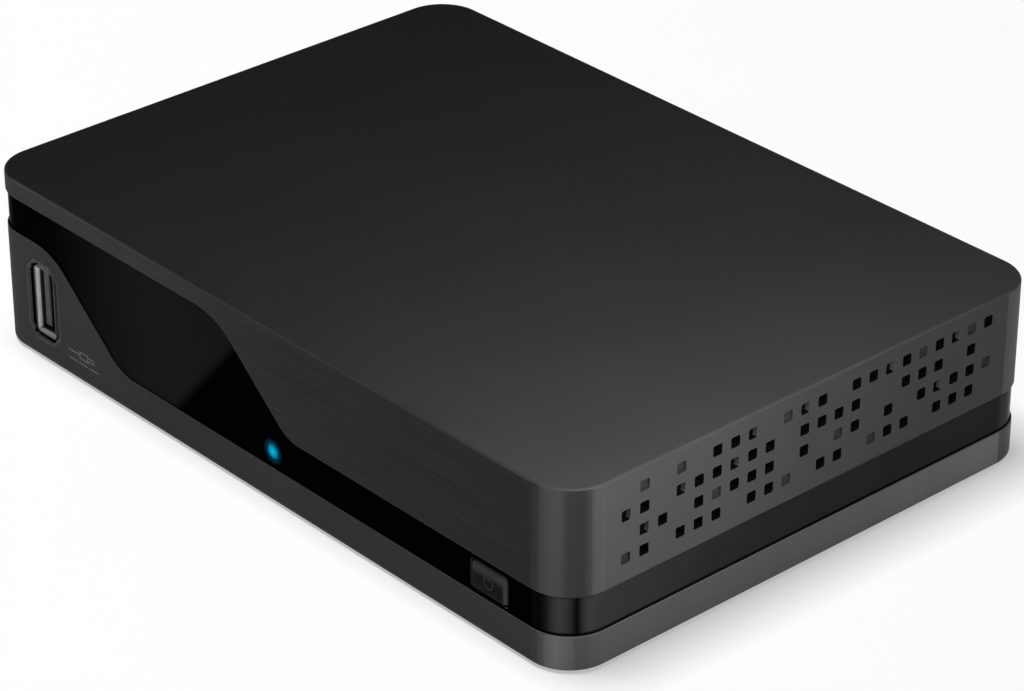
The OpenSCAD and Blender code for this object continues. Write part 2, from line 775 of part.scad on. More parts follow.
module bottom_case() color(charcoal) on_feet() {
    difference() {
        union() {
            difference() {
                intersection() {
                    case_block();
                    under_base_edge(0);
                }
                cavity();
            }
            for (x = [-1, 1], y = [-1, 1])
                translate([x * post_at[0], y * post_at[1], plate / 2])
                    cylinder(h = post_meet - plate / 2, r = post_r);
            for (at = board_holes)
                translate([at[0], at[1], plate / 2]) cylinder(h = board_z - plate / 2, r = standoff_r);
            for (y = [usb_board_front + guide_in, usb_board_back - guide_in - guide_l])
                for (x = [usb_board_x - guide_t - guide_gap, usb_board_x + board_t + guide_gap])
                    translate([x, y, plate / 2]) cube([guide_t, guide_l, guide_top - plate / 2]);
        }
        for (x = [-1, 1], y = [-1, 1]) {
            translate([x * post_at[0], y * post_at[1], -over]) {
                cylinder(h = case_screw_seat + over, r = case_screw_head_r + pass_gap);
                cylinder(h = post_meet + 2 * over, r = case_screw_r + pass_gap);
            }
            translate([x * foot_at[0], y * foot_at[1], -over])
                cylinder(h = foot_t - foot_proud + over, r = foot_r + foot_gap);
        }
        for (at = board_holes)
            translate([at[0], at[1], plate]) cylinder(h = board_z, r = board_screw_r + thread_gap);
        for (x = centred(slot_count, slot_pitch))
            translate([x, 0, -over]) round_slot(slot_w, slot_l, plate + 2 * over);
        vent_field(-1, base_high - base_vent_drop);
        translate([usb_x, front + usb_rim_depth, usb_z])
            rotate([90, 0, 0]) linear_extrude(usb_rim_depth + over) usb_rim();
        block(usb_x, front - over, usb_z - usb_h / 2 - usb_gap,
            [usb_w + 2 * usb_gap, wall + 2 * over, usb_h + 2 * usb_gap]);
    }
}

// The ring between the shells: a face in the open seam, and a flange that laps behind both shells
module band_ring() {
    difference() {
        union() {
            difference() {
                linear_extrude(case_h) outline(band_recess);
                under_base_edge(seam_gap);
                above_cover_edge(seam_gap);
            }
            difference() {
                linear_extrude(case_h) outline(wall + lap_gap);
                under_base_edge(-lap_h);
                above_cover_edge(-lap_h);
            }
        }
        translate([0, 0, -over]) linear_extrude(case_h + 2 * over) outline(band_inner);
    }
}

// The stretch of the ring that is the rear panel
module rear_stretch(half_w) {
    translate([-half_w, post_at[1], -over]) cube([2 * half_w, 2 * corner_r, case_h + 2 * over]);
}

module middle_band() color(gloss_black) on_feet() {
    difference() {
        band_ring();
        rear_stretch(panel_half_w + seam_gap);
        rod_y(light_x, light_z, front - over, front + band_inner + over, light_r + light_gap);
        block(button_x, front - over, button_bottom - button_gap,
            [button_w + 2 * button_gap, band_inner + 2 * over, button_top - button_bottom + 2 * button_gap]);
    }
}

// Cross-section of the HDMI socket with its two cut corners, grown or shrunk all round
module hdmi_outline(grow) {
    w = hdmi_w / 2 + grow;
    low = -grow;
    high = hdmi_h + grow;
    cut = hdmi_cut;
    polygon([[-w, high], [-w, low + cut], [-w + cut, low], [w - cut, low], [w, low + cut], [w, high]]);
}

// A stretch of the HDMI cross-section from one place along Y to another
module hdmi_prism(y0, y1, grow) {
    translate([hdmi_x, y1, board_top]) rotate([90, 0, 0]) linear_extrude(y1 - y0) hdmi_outline(grow);
}

module rear_panel() color(satin_black) on_feet() {
    y0 = port_seat - over;
    y1 = back + over;
    shield_w = ethernet_w + 2 * ethernet_metal;
    shield_h = ethernet_h + ethernet_metal;
    difference() {
        intersection() {
            band_ring();
            rear_stretch(panel_half_w);
        }
        rod_y(aerial_x, aerial_z, y0, y1, aerial_r + port_gap);
        rod_y(av_x, av_z, y0, y1, av_nose_r + port_gap);
        rod_y(dc_x, dc_z, y0, y1, dc_nose_r + port_gap);
        hdmi_prism(y0, y1, port_gap);
        block(ethernet_x, y0, board_top - port_gap,
            [shield_w + 2 * port_gap, y1 - y0, shield_h + 2 * port_gap]);
    }
}

module rubber_feet() color("#161617") {
    for (x = [-1, 1], y = [-1, 1])
        translate([x * foot_at[0], y * foot_at[1], 0]) cylinder(h = foot_t, r = foot_r);
}

module case_screws() color("#3c3d40") on_feet() {
    for (x = [-1, 1], y = [-1, 1])
        translate([x * post_at[0], y * post_at[1], case_screw_seat])
            cross_screw(case_screw_r, case_screw_l, case_screw_head_r, case_screw_head_h);
}

// A round hole through the main board
module board_hole(at, r) {
    translate([at[0], at[1], board_z - over]) cylinder(h = board_t + 2 * over, r = r);
}

module main_board() color(board_green) on_feet() {
    difference() {
        translate([board_left, board_front, board_z])
            cube([board_right - board_left, board_back - board_front, board_t]);
        for (at = board_holes)
            board_hole(at, board_screw_r + pass_gap);
        for (at = sink_pins_at)
            board_hole(at, sink_pin_r + pass_gap);
    }
}

module board_screws() color(bright_metal) on_feet() {
    shank_l = board_t + standoff_h - thread_gap;
    for (at = board_holes)
        translate([at[0], at[1], board_top]) mirror([0, 0, 1])
            cross_screw(board_screw_r, shank_l, board_screw_head_r, board_screw_head_h);
}

module usb_board() color(board_green) on_feet() {
    difference() {
        translate([usb_board_x, usb_board_front, plate])
            cube([board_t, usb_board_back - usb_board_front, usb_board_top - plate]);
        for (y = centred(link_count, link_pitch))
            translate([usb_board_x - over, link_y + y, link_z]) rotate([0, 90, 0])
                cylinder(h = board_t + 2 * over, r = link_pin_r + thread_gap);
    }
}

module board_link() color(chip_black) on_feet() {
    bar_l = link_count * link_pitch;
    translate([link_bar_x, link_y - bar_l / 2, board_top]) cube([link_bar, bar_l, link_bar]);
    for (y = centred(link_count, link_pitch))
        translate([link_pin_x, link_y + y, link_z]) rotate([0, 90, 0])
            cylinder(h = link_bar_x + link_bar / 2 - link_pin_x, r = link_pin_r);
}

module usb_shell() color(bright_metal) on_feet() {
    difference() {
        block(usb_x, usb_front, usb_z - usb_h / 2, [usb_w, usb_d, usb_h]);
        block(usb_x, usb_front - over, usb_z - usb_in_h / 2, [usb_in_w, usb_d + 2 * over, usb_in_h]);
    }
}

module usb_tongue() color("#dfe0e0") on_feet() {
    block(usb_x, usb_block_front, usb_z - usb_in_h / 2, [usb_in_w, usb_block_t, usb_in_h]);
    translate([usb_tongue_x, usb_tongue_front, usb_z - usb_tongue_w / 2])
        cube([usb_tongue_t, usb_block_front + usb_block_t / 2 - usb_tongue_front, usb_tongue_w]);
}

module usb_contacts() color(gold) on_feet() {
    for (span = [usb_outer_span, usb_inner_span], s = [-1, 1])
        translate([
            usb_tongue_x + usb_tongue_t,
            usb_tongue_front + usb_contact_setback,
            usb_z + s * span / 2 - usb_contact_w / 2])
            cube([usb_contact_t, usb_block_front - usb_tongue_front - usb_contact_setback, usb_contact_w]);
}

module power_button() color(gloss_black) on_feet() {
    h = button_top - button_bottom;
    face = front + band_recess - button_proud;
    stem_end = switch_front - plunger_out;
    block(button_x, face, button_bottom, [button_w, button_rim_front + button_rim_t - face, h]);
    block(button_x, button_rim_front, button_bottom - button_rim,
        [button_w + 2 * button_rim, button_rim_t, h + 2 * button_rim]);
    block(button_x, button_rim_front, switch_z - plunger_h / 2,
        [stem_w, stem_end - button_rim_front, plunger_h]);
}

module power_switch() color(chip_black) on_feet() {
    pocket_d = plunger_in + button_travel + plunger_gap;
    difference() {
        block(button_x, switch_front, board_top, [switch_w, switch_d, switch_h]);
        block(button_x, switch_front - over, switch_z - plunger_h / 2 - plunger_gap,
            [plunger_w + 2 * plunger_gap, over + pocket_d, plunger_h + 2 * plunger_gap]);
    }
}

module switch_plunger() color("#e8e6df") on_feet() {
    block(button_x, switch_front - plunger_out, switch_z - plunger_h / 2,
        [plunger_w, plunger_out + plunger_in, plunger_h]);
}

// The pipe's inner end is a block with a slanted back that turns the light forward
module light_pipe() color("#bfe6f4") on_feet() {
    pocket_h = led_h + led_gap;
    difference() {
        union() {
            rod_y(light_x, light_z, front + band_recess, led_y, light_r);
            translate([light_x - light_block_w / 2, 0, 0]) rotate([90, 0, 90])
                linear_extrude(light_block_w) polygon([
                    [light_block_front, board_top],
                    [light_block_front + light_block_d, board_top],
                    [light_block_front + light_block_d, board_top + pocket_h],
                    [led_y, board_top + light_block_h],
                    [light_block_front, board_top + light_block_h]]);
        }
        block(light_x, led_y - led_d / 2 - led_gap, board_top - over,
            [led_w + 2 * led_gap, led_d + 2 * led_gap, pocket_h + over]);
    }
}

module power_led() color("#f3f1e4") on_feet() {
    on_board([light_x, led_y], [led_w, led_d, led_h]);
}

module ir_receiver() color("#2a1a20") on_feet() {
    x = left + receiver_from_left;
    y = board_front + receiver_setback;
    block(x, y, board_top, [receiver_w, receiver_d, receiver_h]);
    translate([x, y, board_top + receiver_h / 2]) sphere(receiver_lens_r);
}

module processor() color(chip_black) on_feet() {
    on_board(processor_at, [processor_size, processor_size, processor_h]);
}

module thermal_pad() color("#8fa6c4") on_feet() {
    translate([0, 0, processor_h]) on_board(processor_at, [processor_size, processor_size, pad_t]);
}

module heat_sink() color("#2b2d31") on_feet() {
    difference() {
        translate([processor_at[0], processor_at[1], sink_z]) {
            translate([-sink_size / 2, -sink_size / 2, 0]) cube([sink_size, sink_size, sink_plate]);
            for (fin = [0:fin_count - 1])
                translate([-sink_size / 2 + fin * fin_pitch, -sink_size / 2, sink_plate / 2])
                    cube([fin_t, sink_size, sink_h - sink_plate / 2]);
        }
        for (at = sink_pins_at)
            translate([at[0], at[1], sink_z]) {
                translate([0, 0, -over]) cylinder(h = sink_h, r = sink_pin_r + pass_gap);
                translate([0, 0, sink_plate]) cylinder(h = sink_h, r = sink_pin_head_r + pass_gap);
            }
    }
}

module heat_sink_pins() color("#e4e2da") on_feet() {
    for (at = sink_pins_at) {
        head_z = sink_z + sink_plate;
        translate([at[0], at[1], board_z]) cylinder(h = head_z + sink_pin_head_h - board_z, r = sink_pin_r);
        translate([at[0], at[1], head_z]) cylinder(h = sink_pin_head_h, r = sink_pin_head_r);
    }
}

module memory_chips() color(chip_black) on_feet() {
    for (at = memory_at)
        on_board(at, [memory_w, memory_d, memory_h]);
}

module flash_chip() color(chip_black) on_feet() {
    on_board(flash_at, [flash_w, flash_d, flash_h]);
}

module power_chips() color(chip_black) on_feet() {
    for (cell = power_chip_cells)
        on_board(power_at(cell), [power_chip_w, power_chip_d, power_chip_h]);
}

module inductors() color("#4a4744") on_feet() {
    for (cell = inductor_cells)
        on_board(power_at(cell), [inductor_size, inductor_size, inductor_h]);
}

module capacitors() color("#23344f") on_feet() {
    for (cell = capacitor_cells)
        translate([power_at(cell)[0], power_at(cell)[1], board_top])
            cylinder(h = capacitor_h, r = capacitor_r);
}

module crystal() color(bright_metal) on_feet() {
    on_board(crystal_at, [crystal_w, crystal_d, crystal_h]);
}

// Folded sheet box, open underneath, with a hole for the aerial socket
module tuner_can() color(bright_metal) on_feet() {
    m = tuner_metal;
    tuner_front = tuner_back - tuner_d;
    difference() {
        block(aerial_x, tuner_front, board_top, [tuner_w, tuner_d, tuner_h]);
        block(aerial_x, tuner_front + m, board_top - over,
            [tuner_w - 2 * m, tuner_d - 2 * m, tuner_h - m + over]);
        rod_y(aerial_x, aerial_z, tuner_back - tuner_metal - over, tuner_back + over, aerial_r + thread_gap);
    }
}

module aerial_socket() color(bright_metal) on_feet() {
    difference() {
        rod_y(aerial_x, aerial_z, aerial_inner, port_face, aerial_r);
        rod_y(aerial_x, aerial_z, aerial_inner - over, port_face + over, aerial_bore_r);
    }
}

module aerial_contact() color("#ece9df") on_feet() {
    difference() {
        union() {
            rod_y(aerial_x, aerial_z, aerial_inner, aerial_inner + aerial_base, aerial_bore_r);
            rod_y(aerial_x, aerial_z, aerial_inner, port_face - aerial_base, aerial_pin_r + aerial_pin_wall);
        }
        rod_y(aerial_x, aerial_z, aerial_inner + aerial_base, port_face, aerial_pin_r);
    }
}

module ethernet_jack() color(chip_black) on_feet() {
    mouth = port_face - ethernet_hole_d;
    difference() {
        block(ethernet_x, ethernet_inner, board_top, [ethernet_w, ethernet_d, ethernet_h]);
        block(ethernet_x, mouth, ethernet_hole_z, [ethernet_hole_w, ethernet_hole_d + over, ethernet_hole_h]);
        block(ethernet_x, mouth, ethernet_latch_z,
            [ethernet_latch_w, ethernet_hole_d + over, ethernet_latch_h + over]);
    }
}

// Folded sheet over the jack's top, back and sides
module ethernet_shield() color(bright_metal) on_feet() {
    m = ethernet_metal;
    difference() {
        block(ethernet_x, ethernet_inner - m, board_top,
            [ethernet_w + 2 * m, ethernet_d + m, ethernet_h + m]);
        block(ethernet_x, ethernet_inner, board_top - over,
            [ethernet_w, ethernet_d + over, ethernet_h + over]);
    }
}

module ethernet_contacts() color(gold) on_feet() {
    ceiling = ethernet_hole_z + ethernet_hole_h;
    for (x = centred(ethernet_contact_count, ethernet_pitch))
        block(ethernet_x + x, port_face - ethernet_hole_d, ceiling - ethernet_contact,
            [ethernet_contact, ethernet_contact_l, ethernet_contact]);
}

module ethernet_transformer() color(chip_black) on_feet() {
    on_board(transformer_at, [transformer_w, transformer_d, transformer_h]);
}

module hdmi_shell() color(bright_metal) on_feet() {
    difference() {
        hdmi_prism(hdmi_inner, port_face, 0);
        hdmi_prism(hdmi_inner - over, port_face + over, -hdmi_metal);
    }
}

module hdmi_tongue() color(chip_black) on_feet() {
    hdmi_prism(hdmi_inner, hdmi_inner + hdmi_block_t, -hdmi_metal);
    block(hdmi_x, hdmi_inner, board_top + hdmi_h / 2,
        [hdmi_tongue_w, hdmi_d - hdmi_tongue_setback, hdmi_tongue_t]);
}

// A jack with a square body behind the panel and a round nose through it
module round_jack(x, z, size, nose_r, bore_r, bore_d) {
    difference() {
        union() {
            block(x, port_seat - size[1], board_top, size);
            rod_y(x, z, port_seat - over, port_face, nose_r);
        }
        rod_y(x, z, port_face - bore_d, port_face + over, bore_r);
    }
}

module av_jack() color("#c8b23a") on_feet() {
    round_jack(av_x, av_z, [av_w, av_d, av_h], av_nose_r, av_bore_r, av_bore_d);
}

module dc_jack() color(chip_black) on_feet() {
    round_jack(dc_x, dc_z, [dc_w, dc_d, dc_h], dc_nose_r, dc_bore_r, dc_bore_d);
}

module dc_pin() color(bright_metal) on_feet() {
    rod_y(dc_x, dc_z, port_face - dc_bore_d, port_face - dc_pin_setback, dc_pin_r);
}

top_cover();
bottom_case();
middle_band();
rear_panel();
rubber_feet();
case_screws();
main_board();
board_screws();
usb_board();
board_link();
usb_shell();
usb_tongue();
usb_contacts();
power_button();
power_switch();
switch_plunger();
light_pipe();
power_led();
ir_receiver();
processor();
thermal_pad();
heat_sink();
heat_sink_pins();
memory_chips();
flash_chip();
power_chips();
inductors();
capacitors();
crystal();
tuner_can();
aerial_socket();
aerial_contact();
ethernet_jack();
ethernet_shield();
ethernet_contacts();
ethernet_transformer();
hdmi_shell();
hdmi_tongue();
av_jack();
dc_jack();
dc_pin();
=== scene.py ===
import math
from collections import namedtuple

import bmesh
import bpy
from mathutils import Matrix, Vector


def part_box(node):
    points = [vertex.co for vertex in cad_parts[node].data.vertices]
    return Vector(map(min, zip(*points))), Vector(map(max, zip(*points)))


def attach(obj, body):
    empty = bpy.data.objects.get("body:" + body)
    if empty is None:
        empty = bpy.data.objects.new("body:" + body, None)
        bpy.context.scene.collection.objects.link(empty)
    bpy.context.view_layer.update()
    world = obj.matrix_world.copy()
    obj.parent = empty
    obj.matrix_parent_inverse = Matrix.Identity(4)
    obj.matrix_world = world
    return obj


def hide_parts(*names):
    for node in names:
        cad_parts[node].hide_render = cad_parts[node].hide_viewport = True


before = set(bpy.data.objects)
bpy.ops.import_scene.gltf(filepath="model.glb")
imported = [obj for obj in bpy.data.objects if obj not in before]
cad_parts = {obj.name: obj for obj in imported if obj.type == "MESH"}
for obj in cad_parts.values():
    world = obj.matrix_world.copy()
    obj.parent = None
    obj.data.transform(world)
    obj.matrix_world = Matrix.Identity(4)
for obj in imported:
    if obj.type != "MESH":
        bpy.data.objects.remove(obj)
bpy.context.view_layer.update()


# Bottom case: the lower shell, floor and walls moulded in one piece of charcoal plastic with a satin
# grain. Its upper edge stands tall at the left and steps down across the front. Posts inside it take
# the case screws, and slots in its floor let cool air in.
mm = 0.001
base_corner_low, base_corner_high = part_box("bottom_case")
half_w, half_d = base_corner_high.x, base_corner_high.y
underside = base_corner_low.z
case_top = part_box("top_cover")[1].z
corner_r = 8 * mm
wall = 2 * mm
plate = 2 * mm
under_edge_r = 0.5 * mm
rim_r = 0.15 * mm
inner_rim_r = 0.15 * mm
rim_fall = 0.3 * mm
band_recess = 0.35 * mm
support = 0.3 * mm
hair = 0.01 * mm
base_under = underside - 0.35 * mm
step_slope = math.radians(40.5)
base_tall = base_corner_high.z - 0.2 * mm
base_short = underside + 6.05 * mm
cover_short = case_top - 3.7 * mm
cover_tall = underside + 13.1 * mm
rear_step = 18 * mm


class StepEdge:
    """A moulded edge that runs level from the left, turns down a slope and levels out again."""

    bend_steps = 12

    def __init__(self, middle, high, low, turn_r, level_r):
        half_run = (high - low) / math.tan(step_slope) / 2
        self.high, self.low, self.turn_r, self.level_r = high, low, turn_r, level_r
        self.turn_x = middle - half_run - turn_r * math.tan(step_slope / 2)
        self.level_x = middle + half_run + level_r * math.tan(step_slope / 2)
        self.turn_end = self.turn_x + turn_r * math.sin(step_slope)
        self.level_start = self.level_x - level_r * math.sin(step_slope)

    def at(self, x):
        """Height of the edge at x, and how steeply it climbs there."""
        if x <= self.turn_x:
            return self.high, 0.0
        if x >= self.level_x:
            return self.low, 0.0
        if x < self.turn_end:
            lean = math.asin((x - self.turn_x) / self.turn_r)
            return self.high - self.turn_r * (1 - math.cos(lean)), -math.tan(lean)
        if x > self.level_start:
            lean = math.asin((self.level_x - x) / self.level_r)
            return self.low + self.level_r * (1 - math.cos(lean)), -math.tan(lean)
        start = self.high - self.turn_r * (1 - math.cos(step_slope))
        return start - (x - self.turn_end) * math.tan(step_slope), -math.tan(step_slope)

    def bends(self):
        """Places along x that draw the two round stretches."""
        leans = [step_slope * i / self.bend_steps for i in range(self.bend_steps + 1)]
        turn = [self.turn_x + self.turn_r * math.sin(lean) for lean in leans]
        level = [self.level_x - self.level_r * math.sin(lean) for lean in leans]
        return turn + level


base_edges = [
    StepEdge(middle, base_tall, base_short, 13 * mm, 11 * mm)
    for middle in (-half_w + 27.6 * mm, -half_w + rear_step)]
cover_edges = [
    StepEdge(middle, cover_short, cover_tall, 14 * mm, 8 * mm)
    for middle in (-half_w + 73.5 * mm, half_w - rear_step)]

Station = namedtuple("Station", "place out")


def rounded_outline(corners, radius, steps):
    """Stations round a convex outline drawn anticlockwise, one list for each rounded corner."""
    arcs = []
    for i, corner in enumerate(corners):
        before = (corner - corners[i - 1]).normalized()
        after = (corners[(i + 1) % len(corners)] - corner).normalized()
        turn = before.angle(after)
        out = Vector((before.y, -before.x))
        centre = corner - before * radius * math.tan(turn / 2) - out * radius
        normals = [Matrix.Rotation(turn * k / steps, 2) @ out for k in range(steps + 1)]
        arcs.append([Station(centre + n * radius, n) for n in normals])
    return arcs


def rectangle(half_a, half_b):
    """Corners of a rectangle about the origin, anticlockwise from the lower left."""
    return [Vector(c) for c in ((-half_a, -half_b), (half_a, -half_b), (half_a, half_b), (-half_a, half_b))]


def case_stations():
    """Stations round the case seen from above: front left corner, front, right, back and left."""
    straight_w, straight_d = half_w - corner_r, half_d - corner_r
    ends = [support - straight_w, straight_w - support]
    stops = [
        sorted(ends + [x for e in (base_edges[i], cover_edges[i]) for x in e.bends() if abs(x) < ends[1]])
        for i in (0, 1)]
    sides = [support - straight_d, straight_d - support]
    walls = [
        [Station(Vector((x, -half_d)), Vector((0, -1))) for x in stops[0]],
        [Station(Vector((half_w, y)), Vector((1, 0))) for y in sides],
        [Station(Vector((x, half_d)), Vector((0, 1))) for x in reversed(stops[1])],
        [Station(Vector((-half_w, y)), Vector((-1, 0))) for y in reversed(sides)]]
    arcs = rounded_outline(rectangle(half_w, half_d), corner_r, 16)
    return [arc + straight for arc, straight in zip(arcs, walls)]


def edge_at(edges, station):
    """Height of a stepped edge at a station, and the way along the outline and down its slope there."""
    z, climb = edges[0 if station.place.y < 0 else 1].at(station.place.x)
    along = Vector((-station.out.y, station.out.x, 0))
    return z, along, math.atan(climb * along.x)


def loft(name, sections, goes_round=True, ring=False):
    """A mesh through a run of like sections. The run may go round and join its own start, each section
    may be a ring, and the two rims that are open otherwise get a cap each."""
    shape = bmesh.new()
    rows = [[shape.verts.new(p) for p in section] for section in sections]
    count = len(rows[0])
    for a, b in zip(rows, rows[1:] + rows[:1] if goes_round else rows[1:]):
        for k in range(count if ring else count - 1):
            n = (k + 1) % count
            shape.faces.new((a[k], b[k], b[n], a[n]))
    if not ring:
        shape.faces.new([r[0] for r in rows])
        shape.faces.new([r[-1] for r in rows])
    elif not goes_round:
        shape.faces.new(rows[0])
        shape.faces.new(rows[-1])
    bmesh.ops.recalc_face_normals(shape, faces=shape.faces)
    mesh = bpy.data.meshes.new(name)
    shape.to_mesh(mesh)
    shape.free()
    return mesh


def new_piece(name, mesh):
    """Puts a mesh into the scene as an object that sits at the origin."""
    piece = bpy.data.objects.new(name, mesh)
    bpy.context.scene.collection.objects.link(piece)
    return piece


def quarter(steps):
    """Sine and cosine over a quarter turn, to draw a rounding."""
    turns = [math.pi / 2 * i / steps for i in range(steps + 1)]
    return [(math.sin(t), math.cos(t)) for t in turns]


def shell_section(station, edges, flat_z, up, round_r, plate_extra=0.0):
    """Points across a shell's wall, from its outer flat face round its rim to its inner flat face. The rim
    falls away behind its outer edge to make room for the band. Up is 1 for the shell that stands on its
    flat face and -1 for the one that hangs from it."""
    edge_z, along, pitch = edge_at(edges, station)
    out = Vector((*station.out, 0))
    place = Vector((*station.place, 0))
    back = up * (along * math.sin(pitch) - Vector((0, 0, math.cos(pitch))))
    lift = Vector((0, 0, up))

    def on_wall(inset, height):
        return place - out * inset + Vector((0, 0, flat_z)) + lift * height

    def on_rim(inset, depth):
        return place - out * inset + Vector((0, 0, edge_z)) + back * depth

    return [
        on_wall(round_r + support, 0),
        *[on_wall(round_r * (1 - s), round_r * (1 - c)) for s, c in quarter(6)],
        on_wall(0, round_r + support),
        on_rim(0, rim_r + support),
        *[on_rim(rim_r * (1 - c), rim_r * (1 - s)) for s, c in quarter(4)],
        on_rim(band_recess, rim_fall),
        *[on_rim(wall - inner_rim_r * (1 - s), rim_fall + inner_rim_r * (1 - c)) for s, c in quarter(2)],
        on_wall(wall, plate + plate_extra),
        on_wall(wall + support, plate + plate_extra)]


def settle(piece):
    """Makes what the modifiers give the piece's own plain mesh."""
    graph = bpy.context.evaluated_depsgraph_get()
    plain = bpy.data.meshes.new_from_object(piece.evaluated_get(graph), depsgraph=graph)
    piece.modifiers.clear()
    piece.data = plain
    return piece


def carve(piece, tool, operation="DIFFERENCE"):
    """Cuts a tool out of the piece, or joins it on, and clears the tool away. Where the tool has a finish,
    the new faces take it."""
    cut = piece.modifiers.new("carve", "BOOLEAN")
    cut.operation = operation
    cut.solver = "EXACT"
    cut.material_mode = "TRANSFER" if tool.data.materials else "INDEX"
    cut.object = tool
    settle(piece)
    bpy.data.objects.remove(tool)


def pieces_tree(name, in_a_row):
    """Nodes that set like pieces in a row, or on the points of the mesh that the tree runs on."""
    tree = bpy.data.node_groups.new(name, "GeometryNodeTree")
    wanted = [("Piece", "Object"), ("Finish", "Material")]
    if in_a_row:
        wanted = [("Count", "Int"), ("First", "Vector"), ("Step", "Vector")] + wanted
    else:
        wanted = [("Points", "Geometry")] + wanted
    for label, kind in wanted:
        tree.interface.new_socket(name=label, in_out="INPUT", socket_type="NodeSocket" + kind)
    tree.interface.new_socket(name="Pieces", in_out="OUTPUT", socket_type="NodeSocketGeometry")
    nodes, link = tree.nodes, tree.links.new
    given = nodes.new("NodeGroupInput").outputs
    info = nodes.new("GeometryNodeObjectInfo")
    spread = nodes.new("GeometryNodeInstanceOnPoints")
    real = nodes.new("GeometryNodeRealizeInstances")
    coat = nodes.new("GeometryNodeSetMaterial")
    if in_a_row:
        line = nodes.new("GeometryNodeMeshLine")
        link(given["Count"], line.inputs["Count"])
        link(given["First"], line.inputs["Start Location"])
        link(given["Step"], line.inputs["Offset"])
        link(line.outputs["Mesh"], spread.inputs["Points"])
    else:
        link(given["Points"], spread.inputs["Points"])
    link(given["Piece"], info.inputs["Object"])
    link(info.outputs["Geometry"], spread.inputs["Instance"])
    link(spread.outputs["Instances"], real.inputs["Geometry"])
    link(real.outputs["Geometry"], coat.inputs["Geometry"])
    link(given["Finish"], coat.inputs["Material"])
    link(coat.outputs["Geometry"], nodes.new("NodeGroupOutput").inputs["Pieces"])
    return tree


row_of_pieces = pieces_tree("row of pieces", True)
pieces_on_points = pieces_tree("pieces on points", False)


def grow(name, tree, points=(), **given):
    """Runs a tree on some points, keeps its result as a plain mesh and clears the pattern piece away."""
    mesh = bpy.data.meshes.new(name)
    mesh.from_pydata(points, [], [])
    piece = new_piece(name, mesh)
    nodes = piece.modifiers.new("grow", "NODES")
    nodes.node_group = tree
    for item in tree.interface.items_tree:
        if item.in_out == "INPUT" and item.name in given:
            nodes[item.identifier] = given[item.name]
    settle(piece)
    bpy.data.objects.remove(given["Piece"])
    return piece


def prism(name, outline, levels, place, hollow=False):
    """A bar whose outline is drawn at each of some levels, grown or shrunk, each point set by place.
    A hollow one is a tube whose levels run up its outside and back down its inside."""
    sections = [
        [place(*(s.place + s.out * grown), level) for level, grown in levels]
        for arc in outline for s in arc]
    return new_piece(name, loft(name, sections, ring=hollow))


def turned(name, profile, steps=48):
    """A round piece turned about Z from its profile of radius and height."""
    shape = bmesh.new()
    line = [shape.verts.new((r, 0, z)) for r, z in profile]
    for a, b in zip(line, line[1:]):
        shape.edges.new((a, b))
    bmesh.ops.spin(
        shape, geom=shape.verts[:] + shape.edges[:], cent=(0, 0, 0), axis=(0, 0, 1),
        angle=2 * math.pi, steps=steps)
    bmesh.ops.remove_doubles(shape, verts=shape.verts, dist=1e-7)
    bmesh.ops.recalc_face_normals(shape, faces=shape.faces)
    mesh = bpy.data.meshes.new(name)
    shape.to_mesh(mesh)
    shape.free()
    return new_piece(name, mesh)


def smooth(piece, sharp_from=32):
    """Shades a piece smooth, with edges left crisp where its faces meet at more than an angle."""
    piece.data.shade_smooth()
    piece.data.set_sharp_from_angle(angle=math.radians(sharp_from))


def mounted(piece, node=None, body="case"):
    """Shades a piece, sets it on its body and, where it stands for a CAD piece, in that one's place."""
    smooth(piece)
    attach(piece, body)
    if node:
        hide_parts(node)


def finish_of(name, dark, light, rough, patch, grain, grain_depth, level=0.5, metal=0.0):
    """A finish whose colour and roughness drift in patches and whose surface has a fine grain.
    Patch and grain are the sizes of those, in metres."""
    material = bpy.data.materials.new(name)
    material.use_nodes = True
    nodes, link = material.node_tree.nodes, material.node_tree.links.new
    shader = nodes["Principled BSDF"]
    shader.inputs["Specular IOR Level"].default_value = level
    shader.inputs["Metallic"].default_value = metal
    place = nodes.new("ShaderNodeTexCoord").outputs["Object"]
    cloud = nodes.new("ShaderNodeTexNoise")
    cloud.name = "patches"
    cloud.inputs["Scale"].default_value = 1 / patch
    cloud.inputs["Detail"].default_value = 4
    tint = nodes.new("ShaderNodeValToRGB")
    tint.name = "tint"
    tint.color_ramp.elements[0].position = 0.3
    tint.color_ramp.elements[1].position = 0.7
    tint.color_ramp.elements[0].color = (*dark, 1)
    tint.color_ramp.elements[1].color = (*light, 1)
    gloss = nodes.new("ShaderNodeMapRange")
    gloss.inputs["To Min"].default_value = rough[0]
    gloss.inputs["To Max"].default_value = rough[1]
    fine = nodes.new("ShaderNodeTexNoise")
    fine.inputs["Scale"].default_value = 1 / grain
    fine.inputs["Detail"].default_value = 2
    bump = nodes.new("ShaderNodeBump")
    bump.name = "grain"
    bump.inputs["Strength"].default_value = 0.5
    bump.inputs["Distance"].default_value = grain_depth
    for texture in (cloud, fine):
        link(place, texture.inputs["Vector"])
    link(cloud.outputs["Fac"], tint.inputs["Fac"])
    link(tint.outputs["Color"], shader.inputs["Base Color"])
    link(cloud.outputs["Fac"], gloss.inputs["Value"])
    link(gloss.outputs["Result"], shader.inputs["Roughness"])
    link(fine.outputs["Fac"], bump.inputs["Height"])
    link(bump.outputs["Normal"], shader.inputs["Normal"])
    return material


def shade_by(material, factor):
    """Multiplies a finish's colour by a value that other nodes give."""
    nodes, link = material.node_tree.nodes, material.node_tree.links.new
    colour = nodes["Principled BSDF"].inputs["Base Color"]
    mix = nodes.new("ShaderNodeVectorMath")
    mix.operation = "SCALE"
    link(colour.links[0].from_socket, mix.inputs[0])
    link(factor, mix.inputs["Scale"])
    link(mix.outputs["Vector"], colour)


